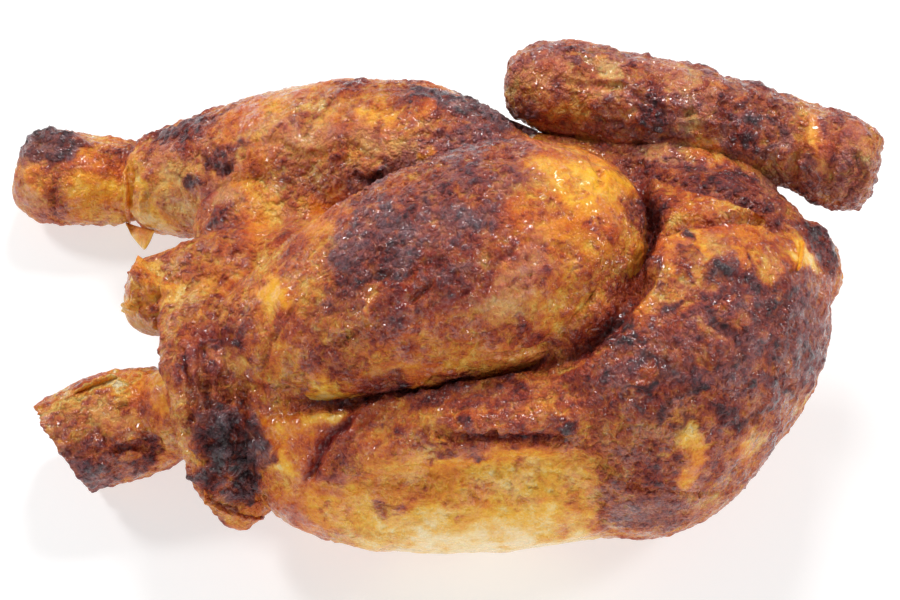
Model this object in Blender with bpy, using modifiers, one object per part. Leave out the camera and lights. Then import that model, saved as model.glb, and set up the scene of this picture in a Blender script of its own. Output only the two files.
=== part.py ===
"""Roast chicken, whole, lying on its breast and left side with the neck end at +X.

The bird is one solid. Each region (torso, breast, legs, wings, tail, belly flap, neck) is lofted
from oval rings along its own centre line, and the regions are joined into one skin, smoothed, and
trimmed flat where the bird rests on its tray. +Z is up and the origin is below the middle.
"""

import bpy
import bmesh
from mathutils import Matrix, Vector

MM = 0.001

# Driving dimensions, in millimetres. REGION_MIDDLE is what the stations' own x and y are at in the
# middle of the bird.
REGION_MIDDLE = (-3.2, 14.2)
TRAY_BLOCK = (300.0, 300.0, 40.0)
SKIN_VOXEL = 2.1

# How finely the rings are drawn, and how the joined skin is rounded and thinned.
RING_SIDES = 14
RING_ROUNDING = 1
SKIN_SMOOTHING = 0.5
SKIN_SMOOTHING_STEPS = 2
SKIN_TRIANGLE_SHARE = 0.155

SKIN_COLOUR = (0.42, 0.13, 0.03, 1.0)
SKIN_ROUGHNESS = 0.38

# The two big masses, whose rings stand square to X. Every other region's rings stand square to its
# own centre line.
MASSES = ("torso", "breast")

# Each station is the centre (x, y, z) of an oval ring, its half width across the region and its half
# depth at right angles to that, all in millimetres.
REGIONS = {
    "torso": [
        (-66, 10, 25, 9, 8),
        (-60, 7, 26, 22, 18),
        (-48, 2, 27, 40, 27),
        (-30, -1.5, 28, 49, 31),
        (-8, -1, 29, 52, 34),
        (15, -2, 31, 51.5, 36),
        (38, -1, 34, 50, 39),
        (56, 2, 37, 46, 41),
        (71, 4, 39, 40, 37),
        (82, 5, 40, 31, 30),
        (90, 6, 41, 19, 20),
        (93, 6, 42, 8, 9),
    ],
    "back": [
        (-34, 24, 36, 8, 8),
        (-28, 25, 37, 15, 14),
        (-8, 29, 42, 21, 18),
        (15, 33, 45, 22, 19),
        (38, 33, 45, 21, 19),
        (58, 28, 45, 18, 18),
        (72, 22, 44, 10, 12),
    ],
    "breast": [
        (12, -12, 34, 20, 24),
        (22, -13, 35.5, 33, 36),
        (40, -11.5, 37.5, 40, 42),
        (55, -10.5, 38.5, 40, 42.5),
        (67, -8, 40.5, 36, 39),
        (77, -4.5, 43, 29, 32),
        (85, 0, 44, 19, 24),
        (90, 3, 45, 9, 12),
    ],
    "breast_edge": [
        (46, -29, 53, 14, 14),
        (30, -31, 55, 12.5, 12),
        (13, -33, 54, 11, 10.5),
        (-3, -34, 51, 10.5, 10),
        (-17, -35, 45, 10, 9.5),
        (-28, -36, 38, 8.5, 8.5),
        (-36, -36, 31, 5, 5),
    ],
    "near_leg": [
        (46, 14, 58, 8, 8),
        (42, 14, 59, 18, 17),
        (33, 11, 62, 26, 23),
        (20, 7, 65, 30, 26),
        (6, 2, 66, 30, 26),
        (-8, -1, 62, 28, 25),
        (-22, -3, 56, 25.5, 22),
        (-34, -4, 48, 22, 19),
        (-45, -6, 40, 17, 16),
        (-56, -9, 30, 14, 14),
        (-65, -12, 23, 12, 12),
        (-71, -13, 19.5, 11, 11.5),
    ],
    "near_knuckle": [
        (-60, -9, 21, 7, 7),
        (-67, -9, 18, 13, 12.5),
        (-76, -10, 16, 14.5, 14.5),
        (-86, -12, 14.5, 14.5, 14.5),
        (-94, -14, 13, 13.5, 13),
        (-98.5, -15, 13, 8, 8),
    ],
    "far_leg": [
        (24, 31, 54, 7, 7),
        (19, 32, 54, 13, 13),
        (8, 37, 53, 18, 18),
        (-4, 43, 50, 21.5, 21),
        (-20, 49, 44, 22.5, 21.5),
        (-36, 54, 36, 22, 20),
        (-51, 58, 28, 19.5, 18),
        (-64, 61, 21, 16.5, 16),
        (-74, 62.5, 17, 14.5, 14),
        (-80, 64, 15, 12.5, 12),
    ],
    "far_knuckle": [
        (-71, 65, 14, 7, 6),
        (-81, 66, 12.5, 12, 11),
        (-91, 67, 12, 12.8, 12),
        (-102, 68, 12.5, 13, 12.5),
        (-109, 69, 13, 11, 10.5),
        (-112, 70, 13, 5, 5),
    ],
    "tail": [
        (-40, 14, 38, 18, 16),
        (-52, 16, 36, 18, 15),
        (-63, 17, 33, 14, 12),
        (-72, 18, 30, 11, 10),
        (-78, 18, 29, 9.5, 9),
        (-80, 18, 29, 5, 5),
    ],
    "belly_flap": [
        (-60, 16, 36, 9, 7),
        (-58, 6, 44, 12, 6.5),
        (-56, -7, 48, 13.5, 6),
        (-54, -19, 44, 14, 6),
        (-51, -28, 34, 14, 6),
        (-49, -31, 23, 14, 6),
        (-48, -31, 15, 12, 5),
        (-48, -31, 11, 8, 3),
    ],
    "near_upper_wing": [
        (80, 26, 50, 7, 7),
        (76, 27, 51, 12, 11),
        (68, 29, 52, 14, 13.5),
        (56, 34, 54, 14, 14),
        (42, 42, 56, 12.5, 12.5),
        (28, 50, 58, 11.5, 11.5),
    ],
    "near_forewing": [
        (14, 60, 63, 6, 6),
        (18, 59, 63, 11, 10.5),
        (28, 57, 63, 12.5, 12.5),
        (42, 54, 63, 12.5, 12.5),
        (58, 50, 63, 12.5, 12),
        (74, 46, 61, 12, 11.5),
        (86, 43, 59, 11, 11),
        (96, 39.5, 57, 11, 11.5),
        (103, 37.5, 55.5, 9.5, 10.5),
        (105.5, 37, 55.5, 5, 5),
    ],
    "far_wing": [
        (84, 30, 30, 7, 8),
        (76, 36, 29, 11, 12),
        (60, 44, 26, 12, 13),
        (42, 50, 23, 11.5, 12.5),
        (26, 54, 20, 10.5, 12),
        (16, 55, 18, 6, 8),
    ],
    "far_forewing": [
        (18, 58, 15, 7, 8),
        (28, 58, 13, 10, 11),
        (46, 55, 12, 10.5, 11),
        (64, 49, 12, 9.5, 10.5),
        (80, 41, 12, 8, 9),
        (90, 35, 12, 4, 5),
    ],
    "neck": [
        (80, 11, 47, 13, 13),
        (87, 14, 49, 12, 12),
        (92, 15.5, 51, 10, 10),
        (95, 16, 52, 6, 6),
    ],
}


def clear_scene():
    """Removes every object that the file opened with."""
    for obj in list(bpy.data.objects):
        bpy.data.objects.remove(obj)


def new_collection(name):
    """A collection linked to the scene."""
    collection = bpy.data.collections.new(name)
    bpy.context.scene.collection.children.link(collection)
    return collection


def ring_matrix(centre, tangent, half_width, half_depth):
    """The matrix that lays a unit circle square to the centre line as an oval ring."""
    across = Vector((0, 0, 1)).cross(tangent).normalized()
    depth = tangent.cross(across).normalized()
    turned = Matrix((across * half_width, depth * half_depth, tangent)).transposed()
    return Matrix.Translation(centre) @ turned.to_4x4()


def loft(name, stations, collection, origin):
    """One region of the bird: oval rings bridged along the stations, capped and subdivided."""
    centres = [Vector(station[:3]) * MM for station in stations]
    bm = bmesh.new()
    rings = []
    for i, (*_, half_width, half_depth) in enumerate(stations):
        ahead = centres[min(i + 1, len(centres) - 1)]
        behind = centres[max(i - 1, 0)]
        tangent = Vector((1, 0, 0)) if name in MASSES else (ahead - behind).normalized()
        matrix = ring_matrix(centres[i], tangent, half_width * MM, half_depth * MM)
        made = bmesh.ops.create_circle(bm, segments=RING_SIDES, radius=1.0, matrix=matrix)
        rings.append({edge for vert in made["verts"] for edge in vert.link_edges})
    for ring, following in zip(rings, rings[1:]):
        bmesh.ops.bridge_loops(bm, edges=list(ring | following))
    for end in (rings[0], rings[-1]):
        bmesh.ops.contextual_create(bm, geom=list(end))
    bmesh.ops.recalc_face_normals(bm, faces=bm.faces)
    mesh = bpy.data.meshes.new(name)
    bm.to_mesh(mesh)
    bm.free()
    region = bpy.data.objects.new(name, mesh)
    collection.objects.link(region)
    region.parent = origin
    rounding = region.modifiers.new("rounding", "SUBSURF")
    rounding.levels = RING_ROUNDING
    rounding.render_levels = RING_ROUNDING
    return region


def as_helper(obj):
    """Marks an object as a guide, which is not part of the bird itself."""
    obj.hide_render = True
    obj.display_type = "WIRE"


def tray_block(collection):
    """A block whose top face is the tray, which trims the underside flat."""
    bpy.ops.mesh.primitive_cube_add(size=1.0)
    block = bpy.context.object
    block.name = "tray_block"
    block.scale = [side * MM for side in TRAY_BLOCK]
    block.location = (0, 0, -TRAY_BLOCK[2] * MM / 2)
    for holder in list(block.users_collection):
        holder.objects.unlink(block)
    collection.objects.link(block)
    as_helper(block)
    return block


def roasted_skin():
    """Browned chicken skin: a red-brown, half-glossy surface."""
    material = bpy.data.materials.new("roasted_skin")
    material.use_nodes = True
    shader = material.node_tree.nodes["Principled BSDF"]
    shader.inputs["Base Color"].default_value = SKIN_COLOUR
    shader.inputs["Roughness"].default_value = SKIN_ROUGHNESS
    shader.inputs["Metallic"].default_value = 0.0
    return material


def join_regions(bird, regions_collection):
    """Joins the other regions to the torso as one smooth skin."""
    joined = bird.modifiers.new("joined", "BOOLEAN")
    joined.operation = "UNION"
    joined.operand_type = "COLLECTION"
    joined.collection = regions_collection
    skin = bird.modifiers.new("skin", "REMESH")
    skin.mode = "VOXEL"
    skin.voxel_size = SKIN_VOXEL * MM
    smooth = bird.modifiers.new("smooth", "SMOOTH")
    smooth.factor = SKIN_SMOOTHING
    smooth.iterations = SKIN_SMOOTHING_STEPS
    coarse = bird.modifiers.new("coarse", "DECIMATE")
    coarse.ratio = SKIN_TRIANGLE_SHARE


def rest_on_tray(bird, block):
    """Cuts the underside flat where the bird lies."""
    cut = bird.modifiers.new("resting_face", "BOOLEAN")
    cut.operation = "DIFFERENCE"
    cut.object = block


def main():
    """Builds the bird."""
    clear_scene()
    chicken = new_collection("roast_chicken_part")
    regions_collection = new_collection("regions")
    helpers = new_collection("helpers")

    origin = bpy.data.objects.new("middle_of_bird", None)
    origin.location = (-REGION_MIDDLE[0] * MM, -REGION_MIDDLE[1] * MM, 0)
    chicken.objects.link(origin)

    bird = loft("roast_chicken", REGIONS["torso"], chicken, origin)
    bird.data.materials.append(roasted_skin())
    for name, stations in REGIONS.items():
        if name != "torso":
            as_helper(loft(name, stations, regions_collection, origin))
    join_regions(bird, regions_collection)
    rest_on_tray(bird, tray_block(helpers))


main()
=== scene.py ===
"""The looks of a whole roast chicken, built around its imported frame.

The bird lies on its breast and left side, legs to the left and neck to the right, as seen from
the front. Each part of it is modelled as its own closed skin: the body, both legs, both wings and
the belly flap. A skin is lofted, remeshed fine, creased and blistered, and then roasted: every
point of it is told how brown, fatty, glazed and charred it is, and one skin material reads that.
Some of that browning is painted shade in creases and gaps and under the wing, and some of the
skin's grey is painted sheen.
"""

import logging
import math
import random
from collections.abc import Callable
from dataclasses import dataclass
from enum import Enum

import bpy
import numpy as np
from mathutils import Matrix, Vector, noise
from mathutils.bvhtree import BVHTree


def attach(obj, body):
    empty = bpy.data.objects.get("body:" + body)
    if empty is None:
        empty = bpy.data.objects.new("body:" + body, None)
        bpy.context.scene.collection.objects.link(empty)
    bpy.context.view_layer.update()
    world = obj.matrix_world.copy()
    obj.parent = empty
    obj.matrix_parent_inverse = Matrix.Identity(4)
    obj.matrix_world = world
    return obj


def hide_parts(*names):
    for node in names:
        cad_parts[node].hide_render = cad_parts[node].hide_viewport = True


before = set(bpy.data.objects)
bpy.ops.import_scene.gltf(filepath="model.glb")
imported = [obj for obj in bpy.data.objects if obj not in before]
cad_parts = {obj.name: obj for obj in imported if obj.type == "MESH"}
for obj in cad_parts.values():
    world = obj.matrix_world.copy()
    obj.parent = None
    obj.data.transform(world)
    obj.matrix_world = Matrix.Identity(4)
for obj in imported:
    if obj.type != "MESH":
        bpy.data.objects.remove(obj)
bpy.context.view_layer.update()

NODE = "roast_chicken"
BODY = "root"
MM = 0.001

# Noise vectors start from the clock unless they are given a seed.
WOBBLE_SEED = 5
# The edges of patches wander in broad waves and fray in fine ones: how long the waves are and how
# far they reach, in millimetres.
WOBBLE_SIZE, WOBBLE_REACH = 9.0, 5.0
FRAY_SIZE, FRAY_REACH = 2.4, 1.8

FLECK_SEED = 41
RANGE_ENDS = ("From Min", "From Max", "To Min", "To Max")

log = logging.getLogger("roast_chicken")

Station = tuple[float, float, float, float, float]
Mark = tuple[float, float]
Source = bpy.types.NodeSocket | bpy.types.Node


# ---------------------------------------------------------------- colours and nodes


def srgb(code: str) -> tuple[float, float, float, float]:
    """Turns an sRGB hex colour to a linear one.

    Args:
        code: the colour, as "#RRGGBB".

    Returns:
        Linear red, green and blue, and an alpha of 1.
    """
    parts = [int(code[i : i + 2], 16) / 255 for i in (1, 3, 5)]
    linear = [c / 12.92 if c <= 0.04045 else ((c + 0.055) / 1.055) ** 2.4 for c in parts]
    return (*linear, 1.0)


def per_mm(size: float) -> float:
    """The scale of a pattern on metres whose features are this many millimetres across."""
    return 1.0 / (size * MM)


def add_node(
    tree: bpy.types.NodeTree,
    kind: str,
    settings: dict[str | int, object] | None = None,
    links: dict[str | int, Source] | None = None,
) -> bpy.types.Node:
    """Adds a node to a material.

    Args:
        tree: the material's node tree.
        kind: the node's type, without the "ShaderNode" that it starts with.
        settings: values by socket name or number, or by the node's own property name. The key
            "stops" holds a colour ramp's (position, hex colour) pairs, and "ends" the low and
            high ends of a range and what it turns them into.
        links: what feeds each input, by its name or number: an output socket, or a node, which
            stands for its first output.

    Returns:
        The new node.
    """
    made = tree.nodes.new(f"ShaderNode{kind}")
    for key, value in (settings or {}).items():
        if key == "stops":
            elements = made.color_ramp.elements
            while len(elements) < len(value):
                elements.new(1.0)
            for element, (position, colour) in zip(elements, value):
                element.position = position
                element.color = srgb(colour)
        elif key == "ends":
            for name, end in zip(RANGE_ENDS, value):
                made.inputs[name].default_value = end
        elif isinstance(key, int) or key in made.inputs:
            made.inputs[key].default_value = value
        else:
            setattr(made, key, value)
    for key, source in (links or {}).items():
        output = source.outputs[0] if isinstance(source, bpy.types.Node) else source
        tree.links.new(output, made.inputs[key])
    return made


# ---------------------------------------------------------------- where marks go


@dataclass(frozen=True)
class ShowSide:
    """A side from which the bird is looked at. Marks on the skin are given from it, as x to the
    right and v up, in millimetres from the middle of the view."""

    target: Vector = Vector((3.8, -1.6, 36.0))
    azimuth: float = 0.0
    elevation: float = 55.0
    distance: float = 918.75

    def axes(self) -> tuple[Vector, Vector, Vector]:
        """Returns the directions to the right, up and towards the eye."""
        turn = Matrix.Rotation(math.radians(self.azimuth), 3, "Z")
        tilt = math.radians(self.elevation)
        right = turn @ Vector((1, 0, 0))
        up = turn @ Vector((0, math.sin(tilt), math.cos(tilt)))
        return right, up, right.cross(up)

    def eye(self) -> Vector:
        """The eye's place, in metres."""
        return (self.target + self.axes()[2] * self.distance) * MM

    def ray(self, mark: Mark) -> tuple[Vector, Vector]:
        """The eye's place and the direction in which it sees a mark."""
        right, up, _ = self.axes()
        seen = (self.target + right * mark[0] + up * mark[1]) * MM
        return self.eye(), (seen - self.eye()).normalized()

    def plan(self, points: np.ndarray) -> np.ndarray:
        """Where the eye sees points.

        Args:
            points: an array of points in metres.

        Returns:
            x, v and the height towards the eye of each point, in millimetres.
        """
        right, up, towards = (np.array(axis) for axis in self.axes())
        offset = points / MM - np.array(self.target)
        height = offset @ towards
        share = self.distance / (self.distance - height)
        return np.stack([offset @ right * share, offset @ up * share, height], axis=1)


class Side(Enum):
    """The sides from which marks are given."""

    FRONT = ShowSide()
    BACK = ShowSide(azimuth=180.0, elevation=35.0)


# ---------------------------------------------------------------- modelling by operators


def deselect_all() -> None:
    """Leaves object mode with nothing selected."""
    if bpy.context.mode != "OBJECT":
        bpy.ops.object.mode_set(mode="OBJECT")
    bpy.ops.object.select_all(action="DESELECT")


def make_active(piece: bpy.types.Object) -> None:
    """Selects one object alone and makes it the active one."""
    deselect_all()
    piece.select_set(True)
    bpy.context.view_layer.objects.active = piece


def join_objects(pieces: list[bpy.types.Object]) -> bpy.types.Object:
    """Joins objects into the first of them, which ends untransformed.

    Args:
        pieces: the objects to join.

    Returns:
        The joined object, active and alone selected.
    """
    deselect_all()
    for piece in pieces:
        piece.select_set(True)
    bpy.context.view_layer.objects.active = pieces[0]
    if len(pieces) > 1:
        bpy.ops.object.join()
    bpy.ops.object.transform_apply()
    return bpy.context.object


def apply_modifier(piece: bpy.types.Object, kind: str, **settings: object) -> None:
    """Adds a modifier and applies it at once.

    Args:
        piece: the object to change.
        kind: the modifier's type.
        settings: the modifier's properties.
    """
    make_active(piece)
    modifier = piece.modifiers.new(kind.lower(), kind)
    for key, value in settings.items():
        setattr(modifier, key, value)
    bpy.ops.object.modifier_apply(modifier=modifier.name)


def edit_whole(piece: bpy.types.Object, operator: Callable, **settings: object) -> None:
    """Runs an edit-mode operator on the whole of a mesh.

    Args:
        piece: the object to change.
        operator: the operator.
        settings: the operator's properties.
    """
    make_active(piece)
    bpy.ops.object.mode_set(mode="EDIT")
    bpy.ops.mesh.select_all(action="SELECT")
    operator(**settings)
    bpy.ops.object.mode_set(mode="OBJECT")


def store(piece: bpy.types.Object, name: str, values: np.ndarray) -> None:
    """Stores a number for each point on the mesh, where the skin's material reads it."""
    attribute = piece.data.attributes.new(name, "FLOAT", "POINT")
    attribute.data.foreach_set("value", values.astype(np.float32))


def marks_along(path: tuple[Mark, ...], step: float, with_ends: bool) -> list[Mark]:
    """Divides a line of marks.

    Args:
        path: the line's marks.
        step: about how far it is from one mark to the next, in millimetres.
        with_ends: whether each stretch of the line gives its own last mark too.

    Returns:
        The marks, in order.
    """
    marks = []
    for start, end in zip(path, path[1:]):
        steps = max(1, round(math.dist(start, end) / step))
        for i in range(steps + with_ends):
            share = i / steps
            marks.append(
                (start[0] + (end[0] - start[0]) * share, start[1] + (end[1] - start[1]) * share)
            )
    return marks


@dataclass(frozen=True)
class Region:
    """One swelling of the bird, lofted through oval rings. Each station is a ring's centre, its
    half width across and its half depth, in millimetres in the bird's own coordinates. Upright
    rings stand square to X, and others to the line of centres. A region may be sawn off flat."""

    name: str
    stations: tuple[Station, ...]
    upright: bool = False
    sawn_at: Vector | None = None
    sawn_towards: Vector | None = None

    ring_sides: int = 18
    middle: Vector = Vector((-3.2, 14.2, 0.0))

    def place(self, point: Vector) -> Vector:
        """A point of the bird's own coordinates in the frame, in metres."""
        return (point - self.middle) * MM

    def add_ring(self, i: int) -> bpy.types.Object:
        """Makes the oval ring of one station."""
        centres = [Vector(station[:3]) for station in self.stations]
        ahead = centres[min(i + 1, len(centres) - 1)]
        behind = centres[max(i - 1, 0)]
        along = Vector((1, 0, 0)) if self.upright else (ahead - behind).normalized()
        across = Vector((0, 0, 1)).cross(along).normalized()
        turned = Matrix((across, along.cross(across), along)).transposed()
        bpy.ops.mesh.primitive_circle_add(
            vertices=self.ring_sides,
            radius=MM,
            location=self.place(centres[i]),
            rotation=turned.to_euler(),
        )
        ring = bpy.context.object
        ring.scale = (self.stations[i][3], self.stations[i][4], 1.0)
        return ring

    def build(self) -> bpy.types.Object:
        """Lofts the region.

        Returns:
            A closed, rounded mesh object.
        """
        deselect_all()
        lofted = join_objects([self.add_ring(i) for i in range(len(self.stations))])
        lofted.name = self.name
        edit_whole(lofted, bpy.ops.mesh.bridge_edge_loops)
        edit_whole(lofted, bpy.ops.mesh.fill_holes, sides=0)
        edit_whole(lofted, bpy.ops.mesh.normals_make_consistent, inside=False)
        apply_modifier(lofted, "SUBSURF", levels=2, render_levels=2)
        if self.sawn_at is not None:
            edit_whole(
                lofted,
                bpy.ops.mesh.bisect,
                plane_co=self.place(self.sawn_at),
                plane_no=self.sawn_towards,
                use_fill=True,
                clear_outer=True,
            )
        return lofted


# ---------------------------------------------------------------- the roast


class Roast(Enum):
    """What roasting makes of the skin: how brown, fatty, glazed, charred, grey and rough it is. The
    grey is ash on charred skin and painted sheen on the thigh and the dark breast, and one roast
    is painted shade in a gap.
    """

    CREAM = (0.04, 0.1, 0.0, 0.0, 0.0, 0.1)
    BUTTER = (0.15, 0.8, 0.0, 0.0, 0.0, 0.2)
    CRUMB = (0.28, 0.0, 0.0, 0.0, 0.0, 0.7)
    YELLOW_FAT = (0.2, 1.0, 0.1, 0.0, 0.0, 0.05)
    GOLD = (0.31, 0.7, 0.0, 0.0, 0.0, 0.3)
    WING = (0.65, 0.0, 0.1, 0.0, 0.7, 0.9)
    TAN = (0.33, 0.1, 0.0, 0.0, 0.05, 0.3)
    ORANGE = (0.42, 0.5, 0.1, 0.0, 0.0, 0.4)
    SALMON = (0.41, 0.0, 0.1, 0.0, 0.3, 0.4)
    RUST = (0.53, 0.2, 0.1, 0.0, 0.0, 0.6)
    BROWN = (0.62, 0.1, 0.1, 0.0, 0.05, 0.8)
    MAROON = (0.72, 0.0, 0.15, 0.0, 0.1, 1.0)
    # The grey in this purple is painted sheen.
    PURPLE = (0.8, 0.0, 0.15, 0.05, 0.5, 0.9)
    DARK = (0.88, 0.0, 0.1, 0.3, 0.15, 1.0)
    CHAR = (0.96, 0.0, 0.0, 0.9, 0.15, 1.0)
    # Grey of real ash on charred skin; on the thigh the same grey is painted sheen.
    ASH = (0.85, 0.0, 0.0, 0.6, 0.8, 0.9)
    AMBER_GLAZE = (0.52, 1.0, 0.2, 0.0, 0.0, 0.4)
    # Painted shade, slightly glazed, for the gap between the knee and the breast.
    GRAVY = (0.9, 0.2, 0.1, 0.1, 0.0, 0.6)
    RED_GLAZE = (0.62, 0.0, 0.8, 0.0, 0.0, 0.6)
    DEEP_GLAZE = (0.82, 0.0, 0.8, 0.0, 0.0, 0.3)


CHANNELS = ("brown", "fat", "glaze", "char", "ash", "rough")


@dataclass(frozen=True)
class Patch:
    """A patch of skin that roasted differently from what is round it; a few patches are painted
    shade in gaps and creases and under the wing. Its place is a mark, and its reach is along and
    across a direction that is turned from the right, in degrees. A patch may be lifted off the
    flesh as a blister is, in millimetres."""

    x: float
    v: float
    along: float
    across: float
    roast: Roast
    turn: float = 0.0
    strength: float = 1.0
    lift: float = 0.0
    side: Side = Side.FRONT


@dataclass(frozen=True)
class Furrow:
    """A crease in the skin along a line of marks, or a raised fold where its depth is negative.
    Widths and depths are in millimetres."""

    path: tuple[Mark, ...]
    width: float
    depth: float
    roast: Roast | None = None
    strength: float = 1.0
    side: Side = Side.FRONT


def wobble(points: np.ndarray) -> np.ndarray:
    """An uneven drift for each point, in millimetres, which makes the edges of patches ragged."""
    drift = np.empty_like(points)
    for i, point in enumerate(points / MM):
        at = Vector(point)
        drift[i] = noise.noise_vector(at / WOBBLE_SIZE) * WOBBLE_REACH
        drift[i] += noise.noise_vector(at / FRAY_SIZE) * FRAY_REACH
    return drift


@dataclass
class Skin:
    """One closed piece of the bird's skin."""

    name: str = "skin"
    regions: tuple[Region, ...] = ()
    voxel: float = 0.7
    smoothing: int = 4
    ground: Roast = Roast.RUST
    furrows: tuple[Furrow, ...] = ()
    lump_height: float = 1.8
    most_triangles: int = 195_000

    # A patch's soft edge, in reaches of the patch, and how deep it goes below its middle.
    edge_end: float = 1.45
    edge_width: float = 0.95
    depth_share: float = 1.2
    least_depth: float = 6.0

    # A furrow: the step between its points in millimetres, the share of the wobble that it
    # follows, how many widths away it is felt, how fast and how far its ends fade, how its
    # colour narrows, and the lips that stand up beside it.
    furrow_step: float = 1.2
    furrow_wander: float = 0.35
    furrow_reach: float = 3.2
    furrow_fade: float = 5.0
    furrow_end: float = 0.15
    furrow_colour: float = 0.9
    lip_place: float = 1.7
    lip_narrowness: float = 2.2
    lip_height: float = 0.15

    # Displacement weights are set in this many steps, as each step is one call.
    weight_steps: int = 20

    def model(self) -> None:
        """Models the bare piece, and keeps what marks are found on."""
        self.piece = join_objects([region.build() for region in self.regions])
        self.piece.name = self.name
        self.piece.data.name = self.name
        apply_modifier(self.piece, "REMESH", mode="VOXEL", voxel_size=self.voxel * MM)
        apply_modifier(self.piece, "SMOOTH", factor=0.5, iterations=self.smoothing)
        self.surface = BVHTree.FromObject(self.piece, bpy.context.evaluated_depsgraph_get())

    def finish(self, patches: list[tuple[Patch, np.ndarray]]) -> bpy.types.Object:
        """Roasts, creases and blisters the piece.

        Args:
            patches: every patch of the bird with its middle as its side sees it.

        Returns:
            The finished mesh object.
        """
        points, normals = self.read_points()
        self.drift = wobble(points)
        states, sunk = self.roast(points, patches)
        sunk += self.crease(points, states)
        self.write_points(points - normals * sunk[:, None] * MM)
        self.blister(states)
        self.rest_on_tray()
        for name, values in states.items():
            store(self.piece, name, values)
        self.thin_out()
        make_active(self.piece)
        bpy.ops.object.shade_smooth()
        return self.piece

    def read_points(self) -> tuple[np.ndarray, np.ndarray]:
        """Returns the mesh's points and their normals as arrays."""
        count = len(self.piece.data.vertices)
        points = np.empty(count * 3, np.float32)
        normals = np.empty(count * 3, np.float32)
        self.piece.data.vertices.foreach_get("co", points)
        self.piece.data.vertices.foreach_get("normal", normals)
        return points.reshape(-1, 3).astype(float), normals.reshape(-1, 3).astype(float)

    def write_points(self, points: np.ndarray) -> None:
        """Moves the mesh's points to these places."""
        self.piece.data.vertices.foreach_set("co", points.astype(np.float32).ravel())
        self.piece.data.update()

    def roast(
        self, points: np.ndarray, patches: list[tuple[Patch, np.ndarray]]
    ) -> tuple[dict[str, np.ndarray], np.ndarray]:
        """Works out how the skin roasted at each point.

        Args:
            points: the mesh's points, in metres.
            patches: every patch with its middle as its side sees it.

        Returns:
            For each channel, a value from 0 to 1 at each point, and how far each point sinks.
        """
        states = {name: np.full(len(points), self.ground.value[i]) for i, name in enumerate(CHANNELS)}
        sunk = np.zeros(len(points))
        seen = {side: side.value.plan(points) + self.drift for side in Side}
        for patch, centre in patches:
            away = seen[patch.side] - centre
            longest = max(patch.along, patch.across)
            near = np.nonzero(np.all(abs(away[:, :2]) < self.edge_end * longest, axis=1))[0]
            away = away[near]
            turn = math.radians(patch.turn)
            along = (away[:, 0] * math.cos(turn) + away[:, 1] * math.sin(turn)) / patch.along
            across = (away[:, 1] * math.cos(turn) - away[:, 0] * math.sin(turn)) / patch.across
            deep = away[:, 2] / (self.depth_share * longest + self.least_depth)
            share = self.falloff(np.sqrt(along**2 + across**2 + deep**2)) * patch.strength
            self.blend(states, patch.roast, near, share)
            sunk[near] -= share * patch.lift
        return states, sunk

    def falloff(self, reach: np.ndarray) -> np.ndarray:
        """1 well inside a patch and 0 outside it, with a soft edge."""
        t = np.clip((self.edge_end - reach) / self.edge_width, 0, 1)
        return t * t * (3 - 2 * t)

    def blend(
        self, states: dict[str, np.ndarray], roast: Roast | None, index: np.ndarray, share: np.ndarray
    ) -> None:
        """Pulls each channel towards a roast's value at the indexed points."""
        if roast is not None:
            for name, wanted in zip(CHANNELS, roast.value):
                states[name][index] += (wanted - states[name][index]) * share

    def crease(self, points: np.ndarray, states: dict[str, np.ndarray]) -> np.ndarray:
        """Works out how far each point sinks into a furrow, in millimetres, and roasts furrows, some
        with painted shade.

        Args:
            points: the mesh's points, in metres.
            states: the channels, which are changed in place.

        Returns:
            The depth at each point, negative where a fold stands up.
        """
        sunk = np.zeros(len(points))
        drifted = points + self.drift * MM * self.furrow_wander
        for furrow in self.furrows:
            line = self.trace(furrow)
            if len(line) < 2:
                continue
            reach = self.furrow_reach * furrow.width * MM
            near = np.all((points > line.min(0) - reach) & (points < line.max(0) + reach), axis=1)
            index = np.nonzero(near)[0]
            if not len(index):
                continue
            gaps = np.linalg.norm(drifted[index, None, :] - line[None, :, :], axis=2)
            nearest = gaps.argmin(axis=1)
            gap = gaps[np.arange(len(index)), nearest] / (furrow.width * MM)
            run = nearest / (len(line) - 1)
            taper = np.clip(np.minimum(run, 1 - run) * self.furrow_fade + self.furrow_end, 0, 1)
            bed = np.exp(-(gap**2))
            lips = np.exp(-((gap - self.lip_place) ** 2) * self.lip_narrowness) * self.lip_height
            sunk[index] += (bed - lips) * furrow.depth * taper
            share = np.exp(-((gap * self.furrow_colour) ** 2)) * taper * furrow.strength
            self.blend(states, furrow.roast, index, share)
        return sunk

    def trace(self, furrow: Furrow) -> np.ndarray:
        """The points, in metres, at which a furrow's line lies on this piece."""
        side = furrow.side.value
        marks = marks_along(furrow.path, self.furrow_step, True)
        hits = (self.surface.ray_cast(*side.ray(mark))[0] for mark in marks)
        return np.array([hit for hit in hits if hit is not None]).reshape(-1, 3)

    def blister(self, states: dict[str, np.ndarray]) -> None:
        """Raises the lumps, blisters and charred grains of the skin, and notes what they raise.

        Args:
            states: the channels, which say how rough each point is. The relief is added to them.
        """
        before, normals = self.read_points()
        rough = np.clip(states["rough"], 0, 1)
        grainy = np.clip(rough * 0.9 + states["char"] * 0.6, 0, 1)
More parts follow.
